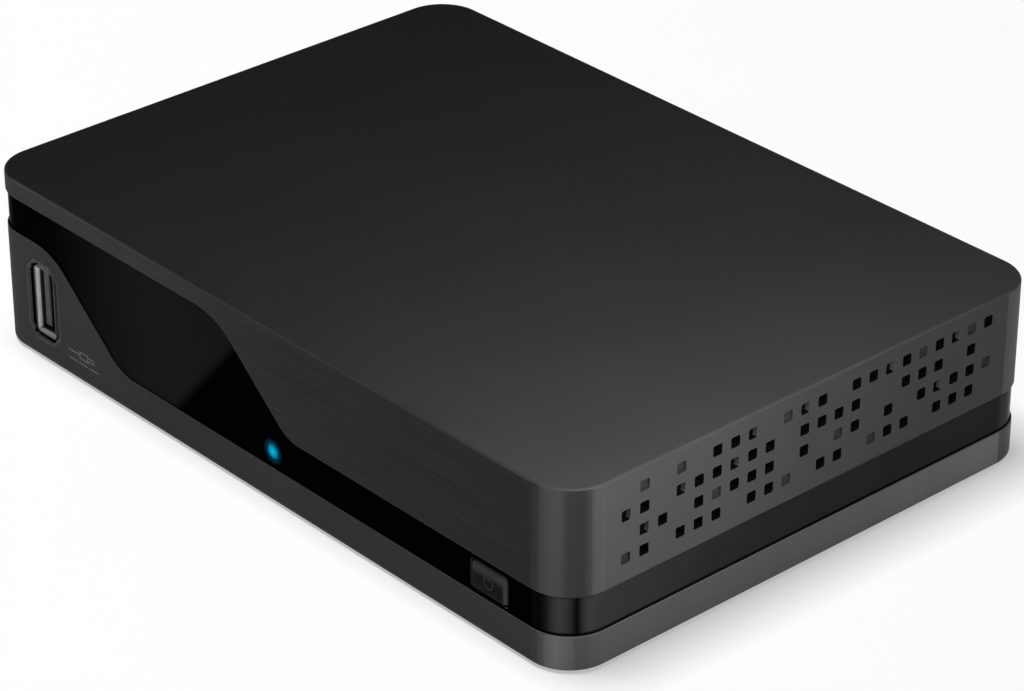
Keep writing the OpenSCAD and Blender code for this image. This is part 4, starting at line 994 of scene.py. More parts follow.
def button_gloss():
    """Polished black with a painted highlight along the key's top and right edges; the rest of its face is
    painted darker.
    """
    material = finish_of(
        "button_gloss", (0.036, 0.036, 0.036), (0.044, 0.044, 0.044), (0.16, 0.24),
        patch=1.6 * mm, grain=0.4 * mm, grain_depth=0.003 * mm, level=0.02)
    nodes, link = material.node_tree.nodes, material.node_tree.links.new
    split = nodes.new("ShaderNodeSeparateXYZ")
    link(nodes.new("ShaderNodeTexCoord").outputs["Object"], split.inputs["Vector"])
    edges = nodes.new("ShaderNodeMath")
    edges.operation = "MAXIMUM"
    # Masks of the painted highlight: the top band and the right edge, each fading into the darker face.
    for i, (axis, inner, outer) in enumerate((
            ("Z", button_z + 0.2 * mm, button_z + 1.9 * mm),
            ("X", button_x + 3.2 * mm, button_x + 3.7 * mm))):
        fade = nodes.new("ShaderNodeMapRange")
        fade.interpolation_type = "SMOOTHSTEP"
        fade.inputs["From Min"].default_value = inner
        fade.inputs["From Max"].default_value = outer
        fade.inputs["To Min"].default_value = 0.1
        link(split.outputs[axis], fade.inputs["Value"])
        link(fade.outputs["Result"], edges.inputs[i])
    shade_by(material, edges.outputs["Value"])
    return material


button_finish = button_gloss()
key = prism(
    "power_key", rounded_outline(rectangle(button_half_w, button_half_h), button_corner_r, 6),
    [*[(button_face + button_edge * (1 - c), -button_edge * (1 - s)) for s, c in quarter(6)],
     (key_rim_front, 0), (key_rim_front, key_rim_grow - lip), (key_rim_front + lip, key_rim_grow),
     (key_rim_front + key_rim_t, key_rim_grow)], at_button)
carve(key, prism(
    "stem", rounded_outline(rectangle(1.3 * mm, 0.8 * mm), 0.2 * mm, 3),
    [(key_rim_front + key_rim_t / 2, 0), (stem_end - lip, 0), (stem_end, -lip)],
    lambda x, z, y: Vector((button_x + x, y, stem_z + z))), "UNION")
key.data.materials.append(button_finish)
mounted(key, "power_button", "button")

sign_r, sign_half_stroke, sign_proud = 1.05 * mm, 0.11 * mm, 0.02 * mm
sign_gap = math.radians(38)
sign_finish = finish_of(
    "sign_ink", (0.018, 0.018, 0.018), (0.026, 0.026, 0.026), (0.4, 0.5),
    patch=1 * mm, grain=0.1 * mm, grain_depth=0.003 * mm, level=0.05)
ring_turns = [math.pi / 2 + sign_gap + (2 * math.pi - 2 * sign_gap) * i / 36 for i in range(37)]
power_sign = new_piece("power_sign", loft("power_sign", [
    [at_button(r * math.cos(turn), r * math.sin(turn), button_face + y)
     for r, y in (
        (sign_r - sign_half_stroke, -sign_proud), (sign_r + sign_half_stroke, -sign_proud),
        (sign_r + sign_half_stroke, sign_proud), (sign_r - sign_half_stroke, sign_proud))]
    for turn in ring_turns], goes_round=False, ring=True))
carve(power_sign, prism(
    "sign_bar", rounded_outline(rectangle(sign_half_stroke, 0.5 * mm), sign_half_stroke * 0.9, 4),
    [(button_face - sign_proud, 0), (button_face + sign_proud, 0)],
    lambda x, z, y: at_button(x, z + 0.75 * mm, y)), "UNION")
power_sign.data.materials.append(sign_finish)
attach(power_sign, "button")


# Status light: a rod of clear plastic whose front end shows in the band. Its inner end is a block over
# the light source on the board, with a slanted back that turns the light forward.
light_tip, lens_edge = 0.05 * mm - light_face, 0.25 * mm
block_top, block_back = light_high.z, light_high.y
block_half_w, pocket_h = (light_high.x - light_low.x) / 2, 1.25 * mm
block_start = block_back - 3.6 * mm
led_y = (block_start + block_back) / 2


def lit_finish():
    """Clear plastic lit from behind: brightest blue at the rod's axis, deeper blue at its edge."""
    material = finish_of(
        "blue_light", (0.001, 0.03, 0.05), (0.002, 0.045, 0.07), (0.3, 0.4),
        patch=2 * mm, grain=0.3 * mm, grain_depth=0.002 * mm, level=0.0)
    nodes, link = material.node_tree.nodes, material.node_tree.links.new
    shader = nodes["Principled BSDF"]
    place = nodes.new("ShaderNodeTexCoord").outputs["Object"]
    flat = nodes.new("ShaderNodeVectorMath")
    flat.operation = "MULTIPLY"
    flat.inputs[1].default_value = (1, 0, 1)
    reach = nodes.new("ShaderNodeVectorMath")
    reach.operation = "DISTANCE"
    reach.inputs[1].default_value = (light_x, 0, light_z)
    spread = nodes.new("ShaderNodeMapRange")
    spread.inputs["From Max"].default_value = light_r
    shine = nodes.new("ShaderNodeValToRGB")
    shine.color_ramp.elements[0].color = (0.004, 0.45, 0.76, 1)
    shine.color_ramp.elements[1].color = (0.0, 0.04, 0.075, 1)
    middle = shine.color_ramp.elements.new(0.45)
    middle.color = (0.001, 0.28, 0.48, 1)
    link(place, flat.inputs[0])
    link(flat.outputs["Vector"], reach.inputs[0])
    link(reach.outputs["Value"], spread.inputs["Value"])
    link(spread.outputs["Result"], shine.inputs["Fac"])
    link(shine.outputs["Color"], shader.inputs["Emission Color"])
    shader.inputs["Emission Strength"].default_value = 1
    return material


lens = prism(
    "light_rod",
    rounded_outline([Vector(p) for p in (
        (block_start, light_low.z), (block_back, light_low.z), (block_back, light_low.z + pocket_h),
        (led_y, block_top), (block_start, block_top))], 0.15 * mm, 2),
    [(-block_half_w, -lip), (lip - block_half_w, 0), (block_half_w - lip, 0), (block_half_w, -lip)],
    lambda y, z, x: Vector((light_x + x, y, z)))
carve(lens, set_along_y(turned("rod", [
    (0, -led_y), (light_r, -led_y),
    *[(light_r - lens_edge * (1 - c), light_tip - lens_edge * (1 - s)) for s, c in quarter(4)],
    (0, light_tip)], 64), light_x, light_z, 1), "UNION")
carve(lens, prism(
    "led_pocket", rounded_outline(rectangle(1.75 * mm, 0.95 * mm), 0.1 * mm, 2),
    [(light_low.z - over, 0), (light_low.z + pocket_h, 0)], from_above(light_x, led_y)))
lens.data.materials.append(lit_finish())
mounted(lens, "light_pipe")


# Sockets at the back: aerial, network, picture, sound and picture, and power inlet. Each stands on the
# main board and shows its mouth in an opening of the rear panel.
port_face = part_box("aerial_socket")[1].y
port_seat = half_d - flange_in
tin_finish = finish_of(
    "socket_steel", (0.50, 0.50, 0.50), (0.64, 0.64, 0.63), (0.26, 0.4),
    patch=3 * mm, grain=0.2 * mm, grain_depth=0.005 * mm, metal=1.0)
black_finish = finish_of(
    "socket_plastic", (0.014, 0.014, 0.015), (0.02, 0.02, 0.021), (0.42, 0.52),
    patch=5 * mm, grain=0.2 * mm, grain_depth=0.012 * mm, level=0.35)
yellow_finish = finish_of(
    "jack_yellow", (0.55, 0.38, 0.025), (0.65, 0.46, 0.035), (0.36, 0.46),
    patch=4 * mm, grain=0.2 * mm, grain_depth=0.008 * mm, level=0.4)


def span_of(node):
    """Middle of a CAD piece's box, and half its size."""
    low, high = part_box(node)
    return (low + high) / 2, (high - low) / 2


def set_at(middle):
    """Placing for an outline that is drawn about a middle in X and Z and runs along Y."""
    return lambda x, z, y: Vector((middle.x + x, y, middle.z + z))


def settled_socket(piece, node, finish):
    """Gives a socket's piece its finish and sets it in the place of its CAD piece."""
    piece.data.materials.append(finish)
    mounted(piece, node)


aerial_mid, aerial_half = span_of("aerial_socket")
aerial_r, aerial_bore_r = aerial_half.x, 4.75 * mm
aerial_inner = port_face - 2 * aerial_half.y
aerial_tube = set_along_y(turned("aerial_tube", [
    (aerial_r, aerial_inner), (aerial_r, port_face - 0.35 * mm), (aerial_r - 0.1 * mm, port_face - 0.1 * mm),
    (aerial_r - 0.3 * mm, port_face), (aerial_bore_r + 0.2 * mm, port_face),
    (aerial_bore_r, port_face - 0.25 * mm), (aerial_bore_r, aerial_inner), (aerial_r, aerial_inner)], 64),
    aerial_mid.x, aerial_mid.z, -1)
settled_socket(aerial_tube, "aerial_socket", tin_finish)

pin_r, pin_bore_r = 1.55 * mm, 1.2 * mm
pin_seat, pin_tip = aerial_inner + 2 * mm, port_face - 2 * mm
aerial_pin = set_along_y(turned("aerial_pin", [
    (0, aerial_inner), (aerial_bore_r, aerial_inner), (aerial_bore_r, pin_seat - 0.2 * mm),
    (aerial_bore_r - 0.2 * mm, pin_seat), (pin_r, pin_seat), (pin_r, pin_tip - 0.2 * mm),
    (pin_r - 0.15 * mm, pin_tip), (pin_bore_r + 0.05 * mm, pin_tip), (pin_bore_r, pin_tip - 0.2 * mm),
    (pin_bore_r, pin_seat), (0, pin_seat)], 48), aerial_mid.x, aerial_mid.z, -1)
slit_half_w, slit_l = 0.15 * mm, 4 * mm
for half_a, half_b in ((slit_half_w, 2 * pin_r), (2 * pin_r, slit_half_w)):
    carve(aerial_pin, prism(
        "slit", rounded_outline(rectangle(half_a, half_b), 0.05 * mm, 1),
        [(pin_tip - slit_l, 0), (pin_tip + over, 0)], set_at(aerial_mid)))
aerial_pin.data.materials.append(white_finish)
aerial_pin.data.materials.append(gilt_finish)
for face in aerial_pin.data.polygons:
    if face.center.y > pin_seat + hair:
        face.material_index = 1
mounted(aerial_pin, "aerial_contact")

network_mid, network_half = span_of("ethernet_jack")
network_edge = 0.2 * mm
network_inner = port_face - 2 * network_half.y
network_body = prism(
    "network_body", rounded_outline(rectangle(network_half.x, network_half.z), 1.5 * network_edge, 3),
    [(network_inner, 0), (port_face - network_edge, 0), (port_face, -network_edge)], set_at(network_mid))
latch_half_w, latch_h, plug_half_w, plug_h, plug_d = 3.1 * mm, 3.4 * mm, 5.9 * mm, 6.9 * mm, 13 * mm
latch_floor = -network_half.z + 1.3 * mm
plug_floor = latch_floor + latch_h
for half_a, low, high in (
        (plug_half_w, plug_floor, plug_floor + plug_h), (latch_half_w, latch_floor, plug_floor + over)):
    opening = rectangle(half_a, (high - low) / 2)
    carve(network_body, prism(
        "plug_hole", rounded_outline([p + Vector((0, (high + low) / 2)) for p in opening], 0.15 * mm, 2),
        [(port_face + over, over + 0.3 * mm), (port_face - 0.3 * mm, 0), (port_face - plug_d, 0)],
        set_at(network_mid)))
settled_socket(network_body, "ethernet_jack", black_finish)

shield_mid, shield_half = span_of("ethernet_shield")
sheet = 0.25 * mm
network_shield = prism(
    "network_shield", rounded_outline(rectangle(shield_half.x, shield_half.z), 0.45 * mm, 4),
    [(network_inner - sheet, -sheet), (network_inner, 0), (port_face, 0)], set_at(shield_mid))
carve(network_shield, prism(
    "shield_room", rounded_outline(rectangle(network_half.x, network_half.z + over), 0.2 * mm, 2),
    [(network_inner, 0), (port_face + over, 0)],
    lambda x, z, y: Vector((network_mid.x + x, y, network_mid.z - over + z))))
settled_socket(network_shield, "ethernet_shield", tin_finish)

contact_count, contact_pitch, contact_half = 8, 1.02 * mm, 0.2 * mm
plug_ceiling = network_mid.z + plug_floor + plug_h
contact_path = [(-4.0, 0.25), (-5.0, 0.35), (-6.0, 0.8), (-12.4, 2.6), (-13.0, 2.7)]
network_wire = new_piece("network_wire", loft("network_wire", [
    [Vector((x, port_face + y * mm, plug_ceiling - drop * mm + z))
     for x, z in (
        (-contact_half, -contact_half), (contact_half, -contact_half),
        (contact_half, contact_half), (-contact_half, contact_half))]
    for y, drop in contact_path], goes_round=False, ring=True))
network_wires = grow(
    "network_wires", row_of_pieces, Count=contact_count,
    First=(network_mid.x - contact_pitch * (contact_count - 1) / 2, 0, 0), Step=(contact_pitch, 0, 0),
    Piece=network_wire, Finish=gilt_finish)
mounted(network_wires, "ethernet_contacts")

picture_mid, picture_half = span_of("hdmi_shell")
picture_cut, picture_metal = 2 * mm, 0.35 * mm
picture_inner = port_face - 2 * picture_half.y
picture_block = picture_inner + 3.6 * mm
picture_half_w, picture_half_h = picture_half.x, picture_half.z
picture_corners = [Vector(c) for c in (
    (-picture_half_w, picture_cut - picture_half_h), (picture_cut - picture_half_w, -picture_half_h),
    (picture_half_w - picture_cut, -picture_half_h), (picture_half_w, picture_cut - picture_half_h),
    (picture_half_w, picture_half_h), (-picture_half_w, picture_half_h))]
picture_outline = rounded_outline(picture_corners, 0.7 * mm, 4)
picture_tube = prism("picture_tube", picture_outline, [
    (picture_inner, 0), (port_face - lip, 0), (port_face, -lip), (port_face, lip - picture_metal),
    (port_face - lip, -picture_metal), (picture_inner, -picture_metal)], set_at(picture_mid), hollow=True)
settled_socket(picture_tube, "hdmi_shell", tin_finish)
picture_core = prism("picture_core", picture_outline, [
    (picture_inner, -picture_metal), (picture_block - lip, -picture_metal),
    (picture_block, -picture_metal - lip)], set_at(picture_mid))
blade_z, blade_half_w, blade_half_t = picture_mid.z + 0.5 * mm, 5.5 * mm, 0.5 * mm
blade_tip = port_face - 0.8 * mm
carve(picture_core, prism(
    "blade", rounded_outline(rectangle(blade_half_w, blade_half_t), 0.25 * mm, 2),
    [(picture_inner + over, 0), (blade_tip - 0.25 * mm, 0), (blade_tip, -0.2 * mm)],
    lambda x, z, y: Vector((picture_mid.x + x, y, blade_z + z))), "UNION")
settled_socket(picture_core, "hdmi_tongue", black_finish)
for name, count, face_z in (
        ("picture_strips_top", 10, blade_half_t),
        ("picture_strips_under", 9, -blade_half_t)):
    strip = prism(
        "picture_strip", rounded_outline(rectangle(0.17 * mm, 0.05 * mm), 0.03 * mm, 2),
        [(picture_block, 0), (blade_tip - 0.6 * mm, 0), (blade_tip - 0.5 * mm, -0.02 * mm)],
        lambda x, z, y: Vector((x, y, blade_z + face_z + z)))
    strips = grow(
        name, row_of_pieces, Count=count, First=(picture_mid.x - (count - 1) / 2 * mm, 0, 0),
        Step=(1 * mm, 0, 0), Piece=strip, Finish=gilt_finish)
    mounted(strips)


def round_jack(name, node, nose_r, bore_r, bore_d):
    """A jack with a square body behind the panel and a round, bored nose in its opening."""
    middle, half = span_of(node)
    inner = port_face - 2 * half.y
    edge = 0.3 * mm
    jack = prism(
        name, rounded_outline(rectangle(half.x, half.z), 1.5 * edge, 3),
        [(inner, -edge), (inner + edge, 0), (port_seat - edge, 0), (port_seat, -edge)], set_at(middle))
    carve(jack, set_along_y(turned("nose", [
        (0, port_seat - over), (nose_r, port_seat - over), (nose_r, port_face - edge),
        (nose_r - edge, port_face), (0, port_face)], 64), middle.x, middle.z, -1), "UNION")
    carve(jack, set_along_y(
        round_cutter("bore", bore_r, port_face, port_face - bore_d), middle.x, middle.z, -1))
    return jack, middle


sound_jack, sound_mid = round_jack("sound_jack", "av_jack", 3 * mm, 1.8 * mm, 13 * mm)
settled_socket(sound_jack, "av_jack", yellow_finish)
inlet_bore_d = 10 * mm
inlet, inlet_mid = round_jack("power_inlet", "dc_jack", 4 * mm, 3.05 * mm, inlet_bore_d)
settled_socket(inlet, "dc_jack", black_finish)
inlet_pin_r, inlet_pin_tip = 1 * mm, port_face - 0.8 * mm
inlet_pin = set_along_y(turned("inlet_pin", [
    (0, port_face - inlet_bore_d), (inlet_pin_r, port_face - inlet_bore_d),
    *[(inlet_pin_r * c, inlet_pin_tip - inlet_pin_r * 0.7 * (1 - s)) for s, c in quarter(6)]], 32),
    inlet_mid.x, inlet_mid.z, -1)
settled_socket(inlet_pin, "dc_pin", tin_finish)


# Main board: green glass-fibre laminate with copper tracks under its mask, cut out with a router. It lies
# on posts of the floor, and nearly everything else inside the case is soldered to its top.
board_top, board_under = board_box_high.z, board_box_low.z
board_mid, board_half = span_of("main_board")
board_edge = 0.08 * mm
sink_pin_at = [(-14.6 * mm, 10.6 * mm), (14.6 * mm, -18.6 * mm)]
sink_pin_hole_r = 1.65 * mm


def laminate_finish():
    """Green mask that shows paler over the copper tracks, which run in right-angled lines."""
    material = finish_of(
        "board_laminate", (0.008, 0.07, 0.036), (0.012, 0.1, 0.05), (0.34, 0.46),
        patch=12 * mm, grain=0.4 * mm, grain_depth=0.01 * mm, level=0.4)
    nodes, link = material.node_tree.nodes, material.node_tree.links.new
    tracks = nodes.new("ShaderNodeTexBrick")
    tracks.offset = 0.37
    tracks.inputs["Scale"].default_value = 1 / mm
    tracks.inputs["Brick Width"].default_value = 7.3
    tracks.inputs["Row Height"].default_value = 1.3
    tracks.inputs["Mortar Size"].default_value = 0.16
    paler = nodes.new("ShaderNodeMapRange")
    paler.inputs["To Min"].default_value = 1.0
    paler.inputs["To Max"].default_value = 1.8
    link(nodes.new("ShaderNodeTexCoord").outputs["Object"], tracks.inputs["Vector"])
    link(tracks.outputs["Fac"], paler.inputs["Value"])
    shade_by(material, paler.outputs["Result"])
    return material


laminate = laminate_finish()
circuit_board = prism(
    "circuit_board", rounded_outline(rectangle(board_half.x, board_half.y), 1.5 * mm, 5),
    [(board_under, -board_edge), (board_under + board_edge, 0),
     (board_top - board_edge, 0), (board_top, -board_edge)],
    from_above(board_mid.x, board_mid.y))
circuit_board.data.materials.append(laminate)
for name, spots, radius in (
        ("board_holes", board_hole_at, 1.3 * mm), ("sink_pin_holes", sink_pin_at, sink_pin_hole_r)):
    carve(circuit_board, grow(
        name, pieces_on_points, [(x, y, 0) for x, y in spots],
        Piece=round_cutter(name + "_one", radius, board_top, board_under - over), Finish=laminate))
mounted(circuit_board, "main_board")
hole_pads = grow(
    "hole_pads", pieces_on_points, [(x, y, board_top) for x, y in board_hole_at],
    Piece=turned("pad_one", [
        (1.6 * mm, 0.03 * mm), (2.9 * mm, 0.03 * mm), (3 * mm, -0.01 * mm), (1.6 * mm, -0.01 * mm),
        (1.6 * mm, 0.03 * mm)], 40),
    Finish=gilt_finish)
mounted(hole_pads)


# USB board: a small upright board of the same laminate. It carries the USB socket, stands between guides
# on the floor, and four gilt pins in a moulded bar join it to the main board.
upright_mid, upright_half = span_of("usb_board")
upright_board = prism(
    "upright_board", rounded_outline(rectangle(upright_half.y, upright_half.z), 0.8 * mm, 4),
    [(-upright_half.x, -board_edge), (board_edge - upright_half.x, 0),
     (upright_half.x - board_edge, 0), (upright_half.x, -board_edge)],
    lambda y, z, x: upright_mid + Vector((x, y, z)))
upright_board.data.materials.append(laminate)
mounted(upright_board, "usb_board")
link_low, link_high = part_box("board_link")
link_mid = (link_low + link_high) / 2
link_half = 1.25 * mm
link_bar_x = link_high.x - link_half
link_bar = prism(
    "link_bar", rounded_outline(rectangle(link_half, link_half), 0.3 * mm, 2),
    [(link_low.y, -lip), (link_low.y + lip, 0), (link_high.y - lip, 0), (link_high.y, -lip)],
    lambda x, z, y: Vector((link_bar_x + x, y, link_mid.z + z)))
link_bar.data.materials.append(black_finish)
mounted(link_bar, "board_link")
link_pins = grow(
    "link_pins", row_of_pieces, Count=4, First=(0, link_mid.y - 2.1 * mm, 0), Step=(0, 1.4 * mm, 0),
    Piece=prism(
        "link_pin", rounded_outline(rectangle(0.28 * mm, 0.28 * mm), 0.15 * mm, 2),
        [(link_low.x, -0.12 * mm), (link_low.x + 0.25 * mm, 0), (link_high.x + 0.6 * mm, 0),
         (link_high.x + 0.8 * mm, -0.12 * mm)],
        lambda y, z, x: Vector((x, y, link_mid.z + z))),
    Finish=gilt_finish)
mounted(link_pins)


# Chips: black epoxy mouldings, marked with a dimple by the first leg. The processor and the memory sit
# flat on laminate carriers; the flash, the regulators and the network transformer stand on bent tin legs.
chip_finish = finish_of(
    "chip_epoxy", [0.016] * 3, [0.024] * 3, (0.5, 0.62),
    patch=4 * mm, grain=0.15 * mm, grain_depth=0.012 * mm, level=0.3)
leg_t = 0.12 * mm


def chips(name, spots, half_x, half_y, tall, carrier=0.0):
    """Chips of one kind at some spots; a carrier is the thickness of the laminate under the moulding."""
    if carrier:
        levels = [(0, 0), (carrier, 0), (carrier, -0.3 * mm)]
    else:
        levels = [(leg_t, -0.1 * mm), (0.45 * tall, 0)]
    levels += [(tall - 0.1 * mm, -0.38 * mm), (tall, -0.48 * mm)]
    one = prism(
        name + "_one", rounded_outline(rectangle(half_x, half_y), 0.5 * mm, 3),
        [(board_top + height, grown) for height, grown in levels], from_above())
    dimple = turned(
        "dimple", [(0, 0.2 * mm), (0.6 * mm, 0.2 * mm), (0.38 * mm, -0.06 * mm), (0, -0.06 * mm)], 20)
    dimple.data.transform(Matrix.Translation((1.4 * mm - half_x, 1.4 * mm - half_y, board_top + tall)))
    carve(one, dimple)
    group = grow(name, pieces_on_points, [(x, y, 0) for x, y in spots], Piece=one, Finish=chip_finish)
    group.data.materials.append(laminate)
    for face in group.data.polygons:
        if face.center.z < board_top + carrier - hair:
            face.material_index = 1
    return group


def legs(name, spots, way, out, rise, leg_half_w):
    """Bent tin legs at some spots on a chip's side. They go out one way, drop and turn along the board."""
    across = Vector((-way.y, way.x, 0))
    sections = [
        [way * reach + across * side * leg_half_w + Vector((0, 0, board_top + height + up * leg_t))
         for side, up in ((-1, 0), (1, 0), (1, 1), (-1, 1))]
        for reach, height in ((-0.3 * mm, rise), (0.3 * out, rise), (0.55 * out, 0), (out, 0))]
    one = new_piece(name + "_one", loft(name + "_one", sections, False, True))
    return grow(name, pieces_on_points, spots, Piece=one, Finish=tin_finish)


processor_mid, memory_mid = span_of("processor")[0], span_of("memory_chips")[0]
flash_mid, regulator_mid = span_of("flash_chip")[0], span_of("power_chips")[0]
transformer_mid = span_of("ethernet_transformer")[0]
memory_at = [(memory_mid.x, memory_mid.y + y * mm) for y in (-8, 8)]
regulator_at = [(regulator_mid.x, regulator_mid.y + y * mm) for y in (-12, 0, 12)]
for name, node, spots, half_x, half_y, tall, carrier in (
        ("main_chip", "processor", [processor_mid[:2]], 8.5, 8.5, 1.3, 0.45),
        ("memory_pair", "memory_chips", memory_at, 4.5, 6.5, 1.1, 0.35),
        ("storage_chip", "flash_chip", [flash_mid[:2]], 8.3, 5.5, 1.1, 0),
        ("regulators", "power_chips", regulator_at, 2.2, 3.1, 2.3, 0),
        ("network_coils", "ethernet_transformer", [transformer_mid[:2]], 5.0, 2.8, 5.5, 0)):
    mounted(chips(name, spots, half_x * mm, half_y * mm, tall * mm, carrier * mm), node)
for name, spots, way, side, count, pitch, out, rise, leg_half_w in (
        ("storage_legs", [flash_mid[:2]], Vector((1, 0, 0)), 8.3, 22, 0.48, 0.8, 0.5, 0.11),
        ("regulator_legs", regulator_at, Vector((1, 0, 0)), 2.2, 4, 1.27, 1.1, 0.9, 0.2),
        ("network_coil_legs", [transformer_mid[:2]], Vector((0, 1, 0)), 2.8, 8, 1.1, 1.0, 1.6, 0.22)):
    across = Vector((-way.y, way.x, 0))
    for side_name, toward in (("_near", 1), ("_far", -1)):
        leg_at = [
            Vector((x, y, 0)) + (way * toward * side + across * (i - (count - 1) / 2) * pitch) * mm
            for x, y in spots for i in range(count)]
        leg_row = legs(name + side_name, leg_at, way * toward, out * mm, rise * mm, leg_half_w * mm)
        mounted(leg_row)


# Cooling of the processor: a soft silicone pad on the chip carries its heat to a black anodised sink of
# extruded aluminium. Two sprung plastic pins snap through the board and hold the sink down.
pad_mid, pad_half = span_of("thermal_pad")
pad_finish = finish_of(
    "pad_silicone", (0.26, 0.33, 0.44), (0.34, 0.42, 0.54), (0.7, 0.8),
    patch=3 * mm, grain=0.3 * mm, grain_depth=0.02 * mm, level=0.2)
soft_pad = prism(
    "soft_pad", rounded_outline(rectangle(pad_half.x, pad_half.y), 0.5 * mm, 3),
    [(pad_mid.z - pad_half.z, -0.12 * mm), (pad_mid.z - 0.1 * mm, 0), (pad_mid.z + 0.1 * mm, 0),
     (pad_mid.z + pad_half.z, -0.12 * mm)],
    from_above(pad_mid.x, pad_mid.y))
soft_pad.data.materials.append(pad_finish)
mounted(soft_pad, "thermal_pad")

sink_mid, sink_half = span_of("heat_sink")
sink_low, sink_top = sink_mid.z - sink_half.z, sink_mid.z + sink_half.z
sink_plate, fin_count, fin_half_t = 2.4 * mm, 9, 0.6 * mm
sink_finish = finish_of(
    "sink_aluminium", (0.03, 0.03, 0.033), (0.045, 0.045, 0.049), (0.36, 0.48),
    patch=6 * mm, grain=0.25 * mm, grain_depth=0.008 * mm, metal=0.7)
fin_first = sink_mid.x - sink_half.x + fin_half_t + 0.1 * mm
finned_sink = prism(
    "finned_sink", rounded_outline(rectangle(sink_half.x, sink_half.y), 0.4 * mm, 2),
    [(sink_low, -0.15 * mm), (sink_low + 0.15 * mm, 0), (sink_low + sink_plate - 0.15 * mm, 0),
     (sink_low + sink_plate, -0.15 * mm)],
    from_above(sink_mid.x, sink_mid.y))
finned_sink.data.materials.append(sink_finish)
carve(finned_sink, grow(
    "fins", row_of_pieces, Count=fin_count, First=(fin_first, sink_mid.y, 0),
    Step=(2 * (sink_mid.x - fin_first) / (fin_count - 1), 0, 0),
    Piece=prism(
        "fin_one", rounded_outline(rectangle(fin_half_t, sink_half.y - 0.2 * mm), 0.4 * mm, 3),
        [(sink_low + sink_plate / 2, 0), (sink_top - 0.3 * mm, -0.12 * mm), (sink_top, -0.3 * mm)],
        from_above()),
    Finish=sink_finish), "UNION")
well_r, well_floor, well_top = 2.75 * mm, sink_plate + hair, 12 * mm
carve(finned_sink, grow(
    "pin_wells", pieces_on_points, [(x, y, sink_low) for x, y in sink_pin_at],
    Piece=turned("pin_well", [
        (0, -over), (sink_pin_hole_r, -over), (sink_pin_hole_r, well_floor), (well_r, well_floor),
        (well_r, well_top), (0, well_top)], 32),
    Finish=sink_finish))
mounted(finned_sink, "heat_sink")
pin_head, pin_top = sink_low + sink_plate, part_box("heat_sink_pins")[1].z
snap_pins = grow(
    "snap_pins", pieces_on_points, [(x, y, 0) for x, y in sink_pin_at],
    Piece=turned("snap_pin", [
        (0, board_under), (0.8 * mm, board_under), (1.3 * mm, board_under + 0.9 * mm), (1.3 * mm, pin_head),
        (2.3 * mm, pin_head), (2.4 * mm, pin_head + 0.1 * mm), (2.4 * mm, pin_top - 0.5 * mm),
        (2.1 * mm, pin_top - 0.1 * mm), (1.7 * mm, pin_top), (0.8 * mm, pin_top),
        (0.65 * mm, pin_top - 0.35 * mm), (0, pin_top - 0.35 * mm)], 32),
    Finish=white_finish)
mounted(snap_pins, "heat_sink_pins")


# Power section: ferrite-cased coils on tin tabs, and electrolytic capacitors, which are aluminium cans in
# blue sleeves, crimped over black bases and scored on top so that they vent safely.
coil_mid = span_of("inductors")[0]
coil_at = [(coil_mid.x, coil_mid.y + y * mm, board_top) for y in (-6, 6)]
ferrite_finish = finish_of(
    "ferrite", (0.065, 0.06, 0.056), (0.09, 0.085, 0.08), (0.6, 0.72),
    patch=2 * mm, grain=0.12 * mm, grain_depth=0.015 * mm, level=0.3)
coil_case = prism(
    "coil_case", rounded_outline(rectangle(3.5 * mm, 3.5 * mm), 1.1 * mm, 4),
    [(0.2 * mm, -0.2 * mm), (0.4 * mm, 0), (3.7 * mm, 0), (4 * mm, -0.3 * mm)], from_above())
carve(coil_case, turned("coil_gap", [
    (2.2 * mm, 3.6 * mm), (2.6 * mm, 3.6 * mm), (2.6 * mm, 4.2 * mm), (2.2 * mm, 4.2 * mm),
    (2.2 * mm, 3.6 * mm)], 40))
mounted(grow("power_coils", pieces_on_points, coil_at, Piece=coil_case, Finish=ferrite_finish),
        "inductors")
coil_tab = prism(
    "coil_tab", rounded_outline(rectangle(0.9 * mm, 1.6 * mm), 0.2 * mm, 2),
    [(0, -0.05 * mm), (0.05 * mm, 0), (0.3 * mm, 0)], from_above())
tab_at = [(x + side * 2.8 * mm, y, z) for x, y, z in coil_at for side in (-1, 1)]
mounted(grow("coil_tabs", pieces_on_points, tab_at, Piece=coil_tab, Finish=tin_finish))

can_mid = span_of("capacitors")[0]
can_at = [
    (can_mid.x + x * mm, can_mid.y + y * mm, board_top) for x, y in ((-10, 6), (0, -6), (0, 6), (10, 6))]
sleeve_finish = finish_of(
    "capacitor_sleeve", (0.016, 0.038, 0.095), (0.022, 0.05, 0.12), (0.24, 0.34),
    patch=3 * mm, grain=0.3 * mm, grain_depth=0.004 * mm, level=0.4)
can_one = turned("can_one", [(r * mm, z * mm) for r, z in (
    (0, 0.7), (3.0, 0.7), (3.15, 0.85), (3.15, 1.5), (2.98, 1.75), (2.98, 1.95), (3.15, 2.2), (3.15, 7.4),
    (3.02, 7.75), (2.7, 8.0), (2.45, 8.0), (2.35, 7.9), (0, 7.9))], 48)
for turn in (0, 60, 120):
    score = prism(
        "score", rounded_outline(rectangle(1.9 * mm, 0.09 * mm), 0.04 * mm, 1),
        [(7.8 * mm, 0), (8.2 * mm, 0)], from_above())
    score.data.transform(Matrix.Rotation(math.radians(turn), 4, "Z"))
    carve(can_one, score)
power_cans = grow("power_cans", pieces_on_points, can_at, Piece=can_one, Finish=sleeve_finish)
power_cans.data.materials.append(tin_finish)
for face in power_cans.data.polygons:
    nearest = min((face.center - Vector(spot)).xy.length for spot in can_at)
    if nearest < 2.6 * mm and face.center.z > board_top + 7.5 * mm:
        face.material_index = 1
mounted(power_cans, "capacitors")
